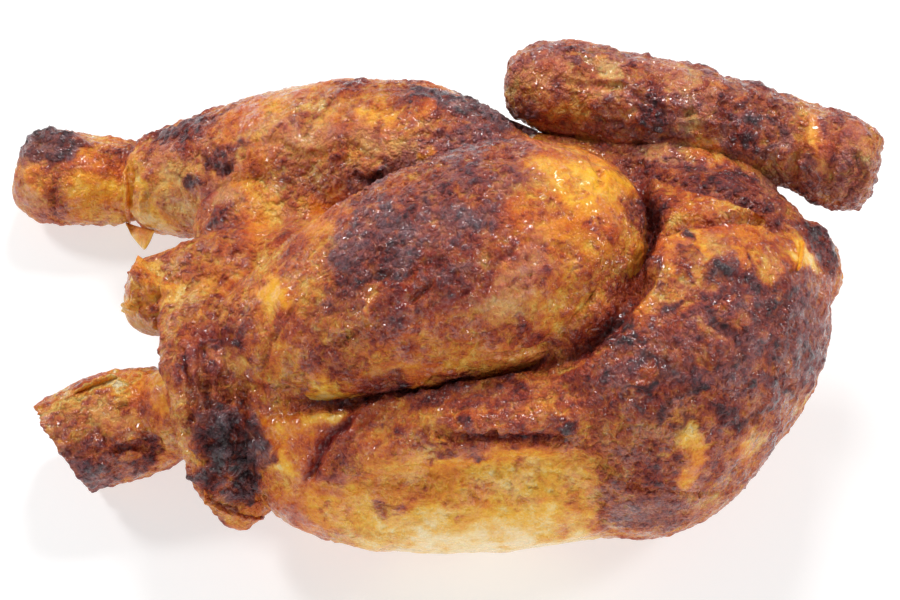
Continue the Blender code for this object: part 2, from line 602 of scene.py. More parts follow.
        # The noise of each wave, its size and height in millimetres, and how each point takes it.
        waves = {
            "lumps": ("SOFT_NOISE", 13.0, self.lump_height, np.full(len(rough), 1.0)),
            "folds": ("HARD_NOISE", 5.5, 1.4, 0.15 + 0.85 * rough),
            "blisters": ("HARD_NOISE", 2.6, 1.1, rough),
            "grains": ("VORONOI", 2.2, -0.8, grainy),
        }
        for name, (kind, size, height, weight) in waves.items():
            cells = kind == "VORONOI"
            texture = bpy.data.textures.new(f"{self.name}_{name}", kind if cells else "CLOUDS")
            texture.noise_scale = size * MM
            if not cells:
                texture.noise_type = kind
            group = self.piece.vertex_groups.new(name=name)
            levels = np.round(np.clip(weight, 0, 1) * self.weight_steps).astype(int)
            for level in np.unique(levels):
                chosen = np.nonzero(levels == level)[0].tolist()
                group.add(chosen, level / self.weight_steps, "REPLACE")
            apply_modifier(
                self.piece,
                "DISPLACE",
                texture=texture,
                texture_coords="LOCAL",
                strength=height * MM,
                mid_level=0.5,
                vertex_group=name,
            )
        after, _ = self.read_points()
        raised = ((after - before) * normals).sum(1) / MM
        states["relief"] = np.clip(0.5 + raised * 0.5, 0, 1)
        self.piece.vertex_groups.clear()

    def rest_on_tray(self) -> None:
        """Presses flat what would reach below the tray."""
        points, _ = self.read_points()
        points[:, 2] = np.maximum(points[:, 2], 0.0)
        self.write_points(points)

    def thin_out(self) -> None:
        """Drops triangles evenly where the mesh has more than it may."""
        triangles = sum(len(face.vertices) - 2 for face in self.piece.data.polygons)
        if triangles > self.most_triangles:
            apply_modifier(self.piece, "DECIMATE", ratio=self.most_triangles / triangles)
        log.info("%s: %d triangles before thinning", self.name, triangles)


# ---------------------------------------------------------------- the bird's parts

TORSO = Region(
    "torso",
    (
        (-66, 10, 25, 9, 8),
        (-60, 7, 26, 22, 18),
        (-48, 2, 27, 40, 27),
        (-30, -1.5, 28, 49, 31),
        (-8, -1, 29, 52, 34),
        (15, -2, 31, 51.5, 36),
        (38, -1, 34, 50, 39),
        (56, 2, 37, 46, 41),
        (71, 4, 39, 40, 37),
        (82, 5, 40, 31, 30),
        (90, 6, 41, 19, 20),
        (93, 6, 42, 8, 9),
    ),
    upright=True,
)

BACK_RIDGE = Region(
    "back",
    (
        (-34, 24, 36, 8, 8),
        (-28, 25, 37, 15, 14),
        (-8, 29, 42, 21, 18),
        (15, 33, 45, 22, 19),
        (38, 33, 45, 21, 19),
        (58, 28, 45, 18, 18),
        (72, 22, 44, 10, 12),
    ),
)

BREAST = Region(
    "breast",
    (
        (12, -12, 34, 20, 24),
        (22, -13, 35.5, 33, 36),
        (40, -11.5, 37.5, 40, 42),
        (55, -10.5, 38.5, 40, 42.5),
        (67, -8, 40.5, 36, 39),
        (77, -4.5, 43, 29, 32),
        (85, 0, 44, 19, 24),
        (90, 3, 45, 9, 12),
    ),
    upright=True,
)

BREAST_EDGE = Region(
    "breast_edge",
    (
        (46, -29, 53, 14, 14),
        (30, -31, 55, 12.5, 12),
        (13, -33, 54, 11, 10.5),
        (-3, -34, 51, 10.5, 10),
        (-17, -35, 45, 10, 9.5),
        (-28, -36, 38, 8.5, 8.5),
        (-36, -36, 31, 5, 5),
    ),
)

TAIL = Region(
    "tail",
    (
        (-40, 14, 38, 18, 16),
        (-52, 16, 36, 18, 15),
        (-63, 17, 33, 14, 12),
        (-72, 18, 30, 11, 10),
        (-78, 18, 29, 9.5, 9),
        (-80, 18, 29, 5, 5),
    ),
)

NECK = Region(
    "neck",
    (
        (80, 11, 47, 13, 13),
        (87, 14, 49, 12, 12),
        (92, 15.5, 51, 10, 10),
        (95, 16, 52, 6, 6),
    ),
)

NEAR_UPPER_WING = Region(
    "near_upper_wing",
    (
        (80, 26, 50, 7, 7),
        (76, 27, 51, 12, 11),
        (68, 29, 52, 14, 13.5),
        (56, 34, 54, 14, 14),
        (42, 42, 50, 11, 10),
        (28, 50, 52, 8, 8),
    ),
)

WEB = Region(
    "web_between_legs",
    (
        (-62, 36, 25, 8, 8),
        (-56, 37, 28, 13, 12),
        (-46, 38, 33, 16, 14),
        (-34, 37, 39, 17, 14),
        (-20, 34, 44, 14, 12),
    ),
)

THIGH = Region(
    "near_thigh",
    (
        (46, 14, 58, 8, 8),
        (42, 14, 59, 18, 17),
        (33, 11, 62, 26, 23),
        (20, 7, 65, 30, 26),
        (6, 2, 66, 30, 26),
        (-8, -1, 62, 28, 25),
        (-22, -3, 56, 25.5, 22),
        (-34, -4, 48, 22, 19),
        (-45, -6, 40, 17, 16),
        (-56, -9, 30, 14, 14),
        (-65, -12, 23, 12, 12),
        (-71, -13, 19.5, 11, 11.5),
    ),
)

KNEE_UNDERSIDE = Region(
    "knee_underside",
    (
        (42, 10, 54, 4, 4),
        (37, 8, 54, 8, 8),
        (28, 4, 55, 14.5, 14),
        (16, 1, 56, 15, 15),
        (4, 2, 57, 14, 14),
        (-4, 3, 57, 8, 8),
    ),
)

NEAR_KNUCKLE = Region(
    "near_knuckle",
    (
        (-60, -9, 21, 7, 7),
        (-67, -9, 18, 13, 12.5),
        (-76, -10, 16, 14.5, 14.5),
        (-86, -12, 14.5, 14.5, 14.5),
        (-94, -15.5, 13.5, 13.5, 13.5),
        (-102, -19, 13, 10.5, 12.5),
        (-106, -20.5, 13, 6, 8),
    ),
    sawn_at=Vector((-93.8, -17.6, 13)),
    sawn_towards=Vector((-0.83, -0.45, -0.32)),
)

FAR_DRUMSTICK = Region(
    "far_drumstick",
    (
        (24, 31, 54, 7, 7),
        (19, 32, 54, 13, 13),
        (8, 37, 53, 18, 18),
        (-4, 43, 50, 21.5, 21),
        (-20, 49, 44, 22.5, 21.5),
        (-36, 54, 36, 22, 20),
        (-51, 58, 28, 19.5, 18),
        (-64, 61, 21, 16.5, 16),
        (-74, 62.5, 17, 14.5, 14),
        (-80, 64, 15, 12.5, 12),
    ),
)

FAR_KNUCKLE = Region(
    "far_knuckle",
    (
        (-71, 65, 14, 7, 6),
        (-81, 66, 12.5, 12, 11),
        (-91, 67, 12, 12.8, 12),
        (-102, 68, 12.5, 13, 12.5),
        (-109, 69, 13, 11, 10.5),
        (-112, 70, 13, 5, 5),
    ),
)

FOREWING = Region(
    "near_forewing",
    (
        (14, 60, 63, 6, 6),
        (18, 59, 63, 11, 10.5),
        (28, 57, 63, 12.5, 12.5),
        (42, 54, 63, 12.5, 12.5),
        (58, 50, 63, 12.5, 12),
        (74, 46, 61, 12, 11.5),
        (86, 43, 59, 11, 11),
        (95, 39.5, 57, 12, 12.5),
        (102, 37.5, 55.5, 11.5, 12.5),
        (105.5, 36.5, 55, 8, 9),
    ),
)

FAR_UPPER_WING = Region(
    "far_upper_wing",
    (
        (84, 30, 30, 7, 8),
        (76, 36, 29, 11, 12),
        (60, 44, 26, 12, 13),
        (42, 50, 23, 11.5, 12.5),
        (26, 54, 20, 10.5, 12),
        (16, 55, 18, 6, 8),
    ),
)

FAR_FOREWING = Region(
    "far_forewing",
    (
        (18, 58, 15, 7, 8),
        (28, 58, 13, 10, 11),
        (46, 55, 12, 10.5, 11),
        (64, 49, 12, 9.5, 10.5),
        (80, 41, 12, 8, 9),
        (90, 35, 12, 4, 5),
    ),
)

BELLY_FLAP = Region(
    "belly_flap",
    (
        (-60, 16, 36, 9, 7),
        (-58, 6, 44, 12, 6.5),
        (-56, -7, 48, 13.5, 6),
        (-54, -19, 44, 14, 6),
        (-51, -28, 34, 14, 6),
        (-49, -31, 23, 14, 6),
        (-48, -31, 15, 12, 5),
        (-48, -31, 11, 8, 3),
    ),
)


@dataclass
class Trunk(Skin):
    """The body: breast, belly, back, tail, neck stub and the near wing's upper arm."""

    name: str = "trunk_skin"
    regions: tuple[Region, ...] = (
        TORSO,
        BACK_RIDGE,
        BREAST,
        BREAST_EDGE,
        TAIL,
        WEB,
        NECK,
        NEAR_UPPER_WING,
    )
    voxel: float = 0.78
    smoothing: int = 8
    furrows: tuple[Furrow, ...] = (
        # Painted shade, slightly glazed, in the deep gap between the knee and the breast.
        Furrow(
            (
                (38, 34),
                (43.5, 31),
                (46.5, 23),
                (46.5, 15),
                (44.5, 6),
                (40, -3),
                (33, -10),
                (24, -14.5),
            ),
            3.4,
            7.5,
            Roast.GRAVY,
        ),
        # Painted shade along the seam under the near leg.
        Furrow(((-46, -26), (-26, -23), (-5, -17.6), (17, -15), (28, -13)), 2.6, 4.5, Roast.DARK),
        Furrow(
            ((46.5, 11), (50, 15), (56.4, 18.4), (66, 20), (76, 20), (84.5, 16)),
            1.5, 2.6, Roast.MAROON, 0.6,
        ),
        # Painted shadow under the wing, along the top of the upper arm.
        Furrow(((38, 37), (49, 31.4), (61, 28.2), (73.5, 24.5), (83, 22)), 2.2, 2.2, Roast.DARK, 0.8),
        # Painted shadow beneath the fold of skin across the belly.
        Furrow(((-4, -33), (10, -33.5), (24, -34), (34, -35)), 1.4, 2.4, Roast.MAROON),
        Furrow(((34, -35), (38, -41), (46, -47), (58, -48), (72, -47)), 0.8, 1.4, Roast.BROWN),
        Furrow(((-24.5, -24), (-27, -31), (-31, -37), (-36, -46)), 1.0, 1.8, Roast.DEEP_GLAZE),
        Furrow(
            ((-22, -25), (-24.5, -32), (-28.5, -38), (-33, -46)),
            1.0, -1.2, Roast.AMBER_GLAZE, 0.6,
        ),
        Furrow(((37.5, -45), (37.5, -57)), 0.7, 0.8, Roast.BROWN),
        Furrow(((66, 10), (61, 6), (59, 0)), 0.9, -1.0, Roast.ORANGE, 0.7),
        Furrow(((56, 16), (51, 10), (49, 3)), 0.9, 0.7, Roast.BROWN, 0.5),
        Furrow(((84, 5), (81, -8), (83, -20)), 0.9, 0.8, Roast.MAROON, 0.6),
        Furrow(((2, -44), (8, -49), (12, -54)), 0.7, 0.6, Roast.ORANGE, 0.4),
        Furrow(((10, -40), (16, -46), (20, -53)), 0.7, 0.7, Roast.ORANGE, 0.4),
        Furrow(((19, -40), (25, -47), (28, -54)), 0.7, 0.6, Roast.ORANGE, 0.4),
        Furrow(((27, -41), (31, -48), (33, -55)), 0.7, 0.6, Roast.ORANGE, 0.4),
        Furrow(((-8, -39), (-2, -44), (2, -52)), 0.7, 0.5, Roast.ORANGE, 0.4),
    )


@dataclass
class NearLeg(Skin):
    """The leg that lies on top: its thigh, its drumstick and its ankle knuckle."""

    name: str = "near_leg_skin"
    regions: tuple[Region, ...] = (THIGH, KNEE_UNDERSIDE, NEAR_KNUCKLE)
    voxel: float = 0.6
    furrows: tuple[Furrow, ...] = (
        Furrow(
            ((-27, 3.7), (-19, 4.5), (-16, 7), (-9, 7), (-4, 9), (3, 12), (7, 14)),
            0.7, 1.0, Roast.DARK, 0.7,
        ),
        Furrow(((-30, 10), (-24, 9), (-18, 12), (-10, 14)), 0.7, 0.9, Roast.DARK, 0.5),
        Furrow(((-24, 24), (-15, 33), (-6, 39)), 1.0, -1.2, Roast.PURPLE, 0.6),
        Furrow(((-16, -1), (-22, -6), (-30, -12)), 0.9, 1.0, Roast.DARK, 0.6),
        Furrow(((10, 6), (2, 1), (-4, -4)), 0.7, 0.9, Roast.DEEP_GLAZE, 0.6),
        Furrow(((16, 14), (10, 6), (8, -1)), 0.8, 1.1, Roast.DEEP_GLAZE, 0.6),
        Furrow(((0, 10), (-6, 3), (-14, -3)), 0.8, 0.9, Roast.DARK, 0.5),
        Furrow(((12, 17), (18, 14), (27, 13), (33, 9)), 0.8, 0.7, Roast.RUST, 0.5),
        Furrow(((-38, 0), (-44, -10), (-47, -20)), 0.8, 0.9, Roast.MAROON, 0.6),
        Furrow(((-33, 0), (-39, -10), (-42, -21)), 0.8, -0.9, Roast.ORANGE, 0.5),
        Furrow(((-28, -4), (-34, -12), (-38, -22)), 0.8, 0.8, Roast.MAROON, 0.6),
        Furrow(((4, -14), (14, -13), (24, -11.5), (30, -8)), 0.9, 1.5, Roast.RUST, 0.7),
        Furrow(((35, 35), (37, 31), (35, 27)), 1.2, 1.2),
        Furrow(((-92, -24), (-84, -26), (-76, -25)), 0.9, 0.9, Roast.BROWN, 0.6),
        Furrow(((-84, -38), (-78, -36), (-72, -38)), 1.0, 1.4, Roast.DARK),
    )


@dataclass
class FarLeg(Skin):
    """The leg behind, whose knuckle lies on the tray."""

    name: str = "far_leg_skin"
    regions: tuple[Region, ...] = (FAR_DRUMSTICK, FAR_KNUCKLE)
    voxel: float = 0.62
    furrows: tuple[Furrow, ...] = (
        Furrow(((-79, 34), (-78.5, 24), (-78.5, 17)), 1.2, 1.8, Roast.BUTTER, 0.5),
        Furrow(((-76, 35), (-75, 24), (-75.5, 15)), 1.0, -1.2, Roast.BUTTER, 0.5),
        Furrow(((-62, 36), (-56, 32), (-53, 33)), 0.9, 1.4, Roast.CHAR),
        Furrow(((-24, 30), (-20, 29.5), (-16, 31)), 1.2, 2.2, Roast.CHAR),
        Furrow(((-32, 46), (-14, 47.5), (2, 45)), 0.7, 0.7, Roast.RUST, 0.6),
        Furrow(((-34, 43.5), (-16, 44.5), (0, 42.5)), 0.6, -0.7, Roast.GOLD, 0.7),
        Furrow(((-20, 42), (-8, 41), (4, 40)), 0.7, 0.8, Roast.RUST, 0.6),
        Furrow(((-96, 33), (-98, 26), (-97, 18)), 0.9, 1.0, Roast.MAROON, 0.6),
        Furrow(((-92, 36), (-85, 35), (-80, 33)), 0.9, -1.2, Roast.ORANGE, 0.8),
        Furrow(((-84, 22), (-80, 24)), 0.9, 0.9, Roast.GOLD, 0.5),
        Furrow(((-60, 41), (-50, 37), (-42, 40)), 1.0, 0.9, Roast.BROWN, 0.5),
        Furrow(((-46, 40), (-36, 36), (-26, 37), (-16, 35)), 1.0, 1.0, Roast.BROWN, 0.5),
    )


@dataclass
class NearWing(Skin):
    """The wing's forearm, folded along the bird's back."""

    name: str = "near_wing_skin"
    regions: tuple[Region, ...] = (FOREWING,)
    voxel: float = 0.5
    ground: Roast = Roast.BROWN
    lump_height: float = 2.6
    furrows: tuple[Furrow, ...] = (
        Furrow(((24, 54), (40, 52), (58, 46), (72, 44)), 1.0, 1.2, Roast.MAROON, 0.6),
        Furrow(((30, 47), (44, 42), (58, 38)), 0.9, 1.0, Roast.MAROON, 0.6),
        Furrow(((60, 50), (74, 47), (84, 46)), 0.8, 0.9, Roast.MAROON, 0.6),
        Furrow(((86, 48), (86, 38), (84, 28)), 1.2, 1.4, Roast.RUST, 0.6),
        Furrow(((95, 44), (94, 36), (92, 28)), 1.4, 1.6, Roast.RUST, 0.6),
        Furrow(((98, 38), (101, 30), (97, 24)), 1.2, 1.4, Roast.MAROON, 0.6),
    )


@dataclass
class FarWing(Skin):
    """The other wing, folded below the bird's back and half under it."""

    name: str = "far_wing_skin"
    regions: tuple[Region, ...] = (FAR_UPPER_WING, FAR_FOREWING)
    voxel: float = 0.7
    ground: Roast = Roast.BROWN


@dataclass
class BellyFlap(Skin):
    """The flap of burnt belly skin that crosses the near ankle."""

    name: str = "belly_flap_skin"
    regions: tuple[Region, ...] = (BELLY_FLAP,)
    voxel: float = 0.5
    ground: Roast = Roast.RUST
    lump_height: float = 3.0
    furrows: tuple[Furrow, ...] = (
        Furrow(((-64, -2), (-60, -14), (-59, -27), (-60, -40)), 1.2, 1.8, Roast.MAROON, 0.5),
        Furrow(((-57, 0), (-54, -12), (-54, -26), (-52, -40)), 1.1, 1.8, Roast.MAROON, 0.5),
        Furrow(((-49, -4), (-50.5, -14), (-52, -22), (-54, -29)), 0.9, -2.0, Roast.ORANGE, 0.8),
        Furrow(((-67, -10), (-64, -20), (-64, -34)), 1.0, 1.4, Roast.MAROON, 0.4),
    )


# ---------------------------------------------------------------- how the whole bird roasted

FAR_LEG_PATCHES = (
    Patch(-86, 27, 24, 14, Roast.RUST),
    Patch(-103, 28, 7, 12, Roast.SALMON),
    Patch(-98, 27, 3, 8, Roast.MAROON, 10, 0.5),
    Patch(-86, 26, 8, 7, Roast.GOLD),
    Patch(-84, 28, 4, 4, Roast.BUTTER, 0, 0.7),
    Patch(-83, 21, 3.5, 2.5, Roast.BUTTER, 0, 0.6),
    Patch(-89, 36, 7, 1.8, Roast.ORANGE, -8),
    Patch(-91, 17.5, 11, 2.5, Roast.ORANGE),
    Patch(-99, 38.5, 9, 5, Roast.CHAR, -8, lift=0.8),
    Patch(-104, 36, 4, 4, Roast.ASH, 0, 0.5),
    Patch(-78, 26, 3, 10, Roast.BUTTER),
    Patch(-73, 22, 5, 9, Roast.GOLD),
    Patch(-72, 19, 3, 2, Roast.CREAM, 0, 0.5),
    Patch(-44, 33, 30, 15, Roast.SALMON),
    Patch(-62, 37, 10, 5, Roast.BROWN, 20, 0.7),
    Patch(-65, 43, 17, 2.6, Roast.DARK, 16),
    Patch(-62, 45, 8, 1.5, Roast.ASH, 18, 0.6),
    Patch(-66, 30, 6, 7, Roast.SALMON, 0, 0.6),
    Patch(-62.5, 29.2, 4, 2.4, Roast.CHAR, -5, lift=1.2),
    Patch(-57, 34.3, 6, 3, Roast.DARK, 20, lift=0.8),
    Patch(-48, 30, 4, 9, Roast.ORANGE),
    Patch(-47, 20, 7, 6, Roast.ORANGE),
    Patch(-49, 44, 10, 4, Roast.ORANGE, 12),
    Patch(-38, 41, 8, 3, Roast.SALMON, 0, 0.7),
    Patch(-37, 46, 3, 1.6, Roast.PURPLE, 0, 0.7),
    Patch(-55, 17, 6, 8, Roast.MAROON, 0, 0.8),
    Patch(-60, 22, 3, 3, Roast.RED_GLAZE, 0, 0.6),
    Patch(-34, 31, 11, 7, Roast.MAROON, 0, 0.6),
    Patch(-39, 27, 5, 4, Roast.RED_GLAZE, 0, 0.4),
    Patch(-27, 37, 7, 4, Roast.RUST, 0, 0.7),
    Patch(-18, 45, 18, 3.6, Roast.GOLD),
    Patch(-12, 38, 12, 5, Roast.SALMON),
    Patch(-8, 41, 10, 1.5, Roast.GOLD, -8, 0.7),
    Patch(-22, 50, 14, 2, Roast.BROWN, 0, 0.6),
    Patch(-21, 28, 4, 5, Roast.PURPLE),
    Patch(-34, 19, 4, 6, Roast.YELLOW_FAT, -20),
    Patch(-30.5, 22.8, 7, 1.4, Roast.AMBER_GLAZE, -14),
    Patch(7, 48, 17, 4, Roast.CHAR, -12),
    Patch(-2, 50, 8, 2.5, Roast.ASH, -8, 0.7),
    Patch(13, 45, 8, 2.5, Roast.ASH, -15, 0.8),
    Patch(20, 40, 8, 3, Roast.ORANGE, -12),
)

NEAR_LEG_PATCHES = (
    Patch(5, 8, 48, 30, Roast.RUST, 20),
    Patch(28, 18, 13, 17, Roast.ORANGE, 15),
    Patch(36, 24, 9, 13, Roast.YELLOW_FAT, 15),
    Patch(38, 16, 7, 13, Roast.YELLOW_FAT),
    Patch(40, 4, 6, 10, Roast.YELLOW_FAT, -25, 0.8),
    Patch(41.5, 17, 6, 13, Roast.YELLOW_FAT),
    Patch(40, 27, 6, 8, Roast.YELLOW_FAT, 20),
    Patch(37, 0, 5, 8, Roast.GOLD, -35),
    Patch(24, 6, 7, 9, Roast.SALMON, 20, 0.8),
    Patch(26, 33, 9, 3.5, Roast.GOLD, -18),
    Patch(34, 1, 6, 9, Roast.GOLD, -25),
    Patch(24, 12, 7, 8, Roast.SALMON),
    Patch(38, 19, 9, 14, Roast.YELLOW_FAT, 0, 0.5),
    Patch(32, 1, 8, 8, Roast.GOLD, -25, 0.6),
    Patch(28, 23, 6, 2, Roast.BROWN, -20, 0.5),
    Patch(26, 12, 3, 1.5, Roast.MAROON, 10, 0.7),
    Patch(22, 27, 4, 4, Roast.RUST, 0, 0.6),
    Patch(18, 3, 10, 8, Roast.SALMON, 15),
    Patch(6, 36, 13, 12, Roast.PURPLE),
    Patch(4, 40, 13, 6, Roast.PURPLE, -10),
    Patch(2, 27, 13, 9, Roast.PURPLE, 30),
    Patch(12, 36, 4, 8, Roast.MAROON, 0, 0.8),
    Patch(-14.7, 32, 13, 4, Roast.PURPLE, 40),
    Patch(-6, 32, 6, 4, Roast.MAROON, 20, 0.7),
    Patch(-5, 17, 16, 10, Roast.PURPLE, 20),
    Patch(-17, 17, 8, 10, Roast.PURPLE),
    Patch(6, 22, 8, 6, Roast.MAROON, 30, 0.8),
    Patch(-6, 35.5, 2, 1.3, Roast.ORANGE),
    Patch(-26, 13, 6, 9, Roast.PURPLE, -20, 0.8),
    Patch(-26, 3, 10, 6, Roast.DARK, 35, 0.8),
    Patch(-13, 8, 15, 3.5, Roast.DARK, 18),
    # Painted sheen on the thigh's purple-grey skin, this line and the next three.
    Patch(-13, 18, 5, 3, Roast.ASH, 10, 0.7),
    Patch(3, 20, 6, 2.5, Roast.ASH, 15, 0.6),
    Patch(-27, 10, 3, 2, Roast.ASH, 30, 0.6),
    Patch(-10, 10, 5, 2, Roast.ASH, 20, 0.6),
    Patch(-5, 1, 13, 8, Roast.RED_GLAZE, 30),
    Patch(5, 4, 13, 9, Roast.RED_GLAZE, 45),
    Patch(-1, 3, 3, 9, Roast.DARK, -40, 0.6),
    Patch(9, 9, 2.4, 7, Roast.MAROON, -40, 0.7),
    Patch(-16, -8, 8, 4, Roast.RED_GLAZE, 30, 0.7),
    Patch(-13, -6, 8, 5, Roast.MAROON, 30, 0.7),
    Patch(-16, -12.5, 8, 5, Roast.RUST, 30),
    Patch(-4, -11, 9, 4, Roast.RUST, 15, 0.8),
    Patch(-30, -14, 7, 7, Roast.MAROON, 20),
    Patch(-33, -8, 8, 3, Roast.RUST, 35, 0.8),
    Patch(16, -7, 12, 4, Roast.BROWN, 8),
    Patch(16, -13.5, 15, 2.2, Roast.TAN, 6),
    Patch(-20, -20, 25, 1.8, Roast.ORANGE, 15),
    Patch(-42, -15, 8, 9, Roast.BROWN),
    Patch(-42, -12, 3, 8, Roast.ORANGE, -30, 0.8),
    Patch(-45, -1, 9, 10, Roast.RUST),
    Patch(-44, 2, 4, 6, Roast.YELLOW_FAT, -30),
    Patch(-37, 8, 5, 5, Roast.RUST, 0, 0.8),
    Patch(-82, -30, 21, 17, Roast.RUST),
    Patch(-82, -23, 10, 6, Roast.ORANGE, 15),
    Patch(-72, -20, 2.6, 6, Roast.GOLD),
    Patch(-71, -27, 1.8, 4, Roast.GOLD),
    Patch(-86, -20, 15, 1.8, Roast.CRUMB, 24),
    Patch(-77, -33, 5, 3, Roast.RED_GLAZE, -10, 0.7, 0.8),
    Patch(-75.5, -38, 6, 3, Roast.DARK),
    Patch(-71, -43.5, 7, 3, Roast.ORANGE),
    Patch(-92, -39, 13, 6, Roast.PURPLE, -58),
    Patch(-98, -36, 14, 3.4, Roast.CHAR, -58),
    Patch(-88, -34, 5, 4, Roast.MAROON, -30, 0.8),
    Patch(-84, -27, 8, 5, Roast.SALMON, 0, 0.8),
    Patch(33, 3, 8, 10, Roast.GOLD, -30),
    Patch(27, -3, 7, 5, Roast.GOLD, 0, 0.8),
    Patch(20, 8, 6, 5, Roast.SALMON, 0, 0.8),
    Patch(33, 13, 7, 9, Roast.YELLOW_FAT, 0, 0.8),
)

TAIL_PATCHES = (
    Patch(-62, 3, 14, 14, Roast.RUST),
    Patch(-56, 4, 7, 8, Roast.ORANGE, 0, 0.7),
    Patch(-75, -1, 5, 8, Roast.CRUMB),
    Patch(-75, -1, 4.4, 8, Roast.BUTTER, 0, 0.9),
    Patch(-66, 2, 7, 9, Roast.SALMON, 0, 0.8),
    Patch(-77, 6.5, 3.5, 2, Roast.BROWN, 0, 1.0, 1.2),
    Patch(-70, 9, 5, 3, Roast.BROWN, 0, 0.7, 0.8),
    Patch(-69, 1, 3, 5, Roast.ORANGE, 0, 0.7),
    Patch(-62, 12, 5, 3, Roast.MAROON, 10, 0.7, 0.8),
    Patch(-54, 12, 5, 4, Roast.MAROON, 0, 0.7, 0.6),
    Patch(-61, -2, 4, 3, Roast.MAROON, 0, 0.6, 0.6),
    Patch(-61, -13, 10, 9, Roast.RUST),
    Patch(-56, -10, 4, 6, Roast.MAROON, 0, 0.8),
    Patch(-61, -18.5, 3, 3, Roast.RED_GLAZE),
    Patch(-69, -13, 5, 5.5, Roast.MAROON, 0, 0.6, 0.8),
    Patch(-60, -14, 8, 8, Roast.SALMON, 0, 0.6),
    Patch(-58.5, -28.7, 7, 6.5, Roast.CHAR),
    Patch(-50, -39.5, 5, 8, Roast.CHAR),
    Patch(-57, -37, 6, 6, Roast.CHAR, 0, 0.8),
    Patch(-55, -48, 8, 4, Roast.BROWN),
    Patch(-52, -53, 10, 1.8, Roast.ORANGE),
    Patch(-43, -51, 8, 6, Roast.BROWN, 0, 0.9),
    Patch(-41.5, -46, 4, 5, Roast.MAROON, 0, 0.7),
    Patch(-72, -2, 7, 9, Roast.CRUMB),
    Patch(-75.5, 3, 5, 5, Roast.CRUMB),
    Patch(-75.5, -5, 5, 5, Roast.BUTTER, 0, 0.8),
    Patch(-73, -9, 4, 4, Roast.SALMON, 0, 0.8),
    Patch(-74, 0, 6, 7, Roast.BUTTER, 0, 0.7),
)

BELLY_PATCHES = (
    Patch(-34, -29, 10, 6, Roast.GOLD),
    Patch(-31, -26, 7, 3.5, Roast.BUTTER),
    Patch(-34, -39, 7, 8, Roast.ORANGE),
    Patch(-37, -32, 6, 2.5, Roast.RUST, -30, 0.6),
    Patch(-42.6, -32, 3.5, 8, Roast.AMBER_GLAZE),
    Patch(-41.4, -38.7, 2.2, 3.2, Roast.BUTTER),
    Patch(0, -44, 42, 12, Roast.GOLD),
    Patch(8, -27.5, 30, 6, Roast.RUST),
    Patch(-20, -26, 10, 5.5, Roast.RED_GLAZE, 25),
    Patch(-24, -33, 4, 7, Roast.RED_GLAZE, -30),
    # Painted shade under the near leg.
    Patch(4, -20.5, 22, 2.6, Roast.DARK),
    Patch(8, -25, 14, 2.5, Roast.BROWN, 0, 0.6),
    Patch(26, -23, 9, 4, Roast.BROWN, 0, 0.8),
    Patch(30, -28.5, 6, 1.8, Roast.GOLD, -8, 0.8),
    # Painted shadow beneath the fold across the belly, this line and the next.
    Patch(12, -34.5, 24, 2.8, Roast.BROWN),
    Patch(-4, -35, 12, 3, Roast.MAROON, 5, 0.7),
    Patch(-20, -35, 9, 5, Roast.RUST, 20),
    Patch(-14, -30, 8, 3, Roast.BROWN, 15, 0.7),
    Patch(-29, -41.5, 6, 5.5, Roast.MAROON),
    Patch(-28, -44, 3, 3, Roast.DEEP_GLAZE, 0, 0.7),
    Patch(-15, -44, 9, 6, Roast.ORANGE),
    Patch(-6, -45, 3.5, 3.2, Roast.MAROON, 0, 0.7),
    Patch(-17, -52, 3, 1.4, Roast.DARK),
    Patch(-8.6, -52, 4, 2, Roast.MAROON, 0, 0.8),
    Patch(-29, -51.5, 3, 2.8, Roast.DEEP_GLAZE),
    Patch(-32, -54.5, 17, 4, Roast.GOLD),
    Patch(-40, -52, 6, 4, Roast.ORANGE),
    Patch(14, -44, 25, 8, Roast.GOLD),
    Patch(20, -41, 14, 4, Roast.BUTTER, 0, 0.5),
    Patch(12, -54, 28, 3.6, Roast.BUTTER),
    Patch(7, -60, 34, 5, Roast.CREAM),
    Patch(37.5, -52, 1.4, 7, Roast.BROWN, 0, 0.8),
    Patch(49, -51.5, 10, 5, Roast.PURPLE),
    Patch(44, -44.5, 9, 5, Roast.MAROON),
    Patch(65, -51, 6, 3, Roast.SALMON),
    Patch(-33, -27.5, 6, 3.4, Roast.BUTTER, 0, 0.9),
    Patch(-38, -31, 5, 4, Roast.GOLD),
    Patch(-34, -36, 4, 5, Roast.ORANGE, 0, 0.8),
)

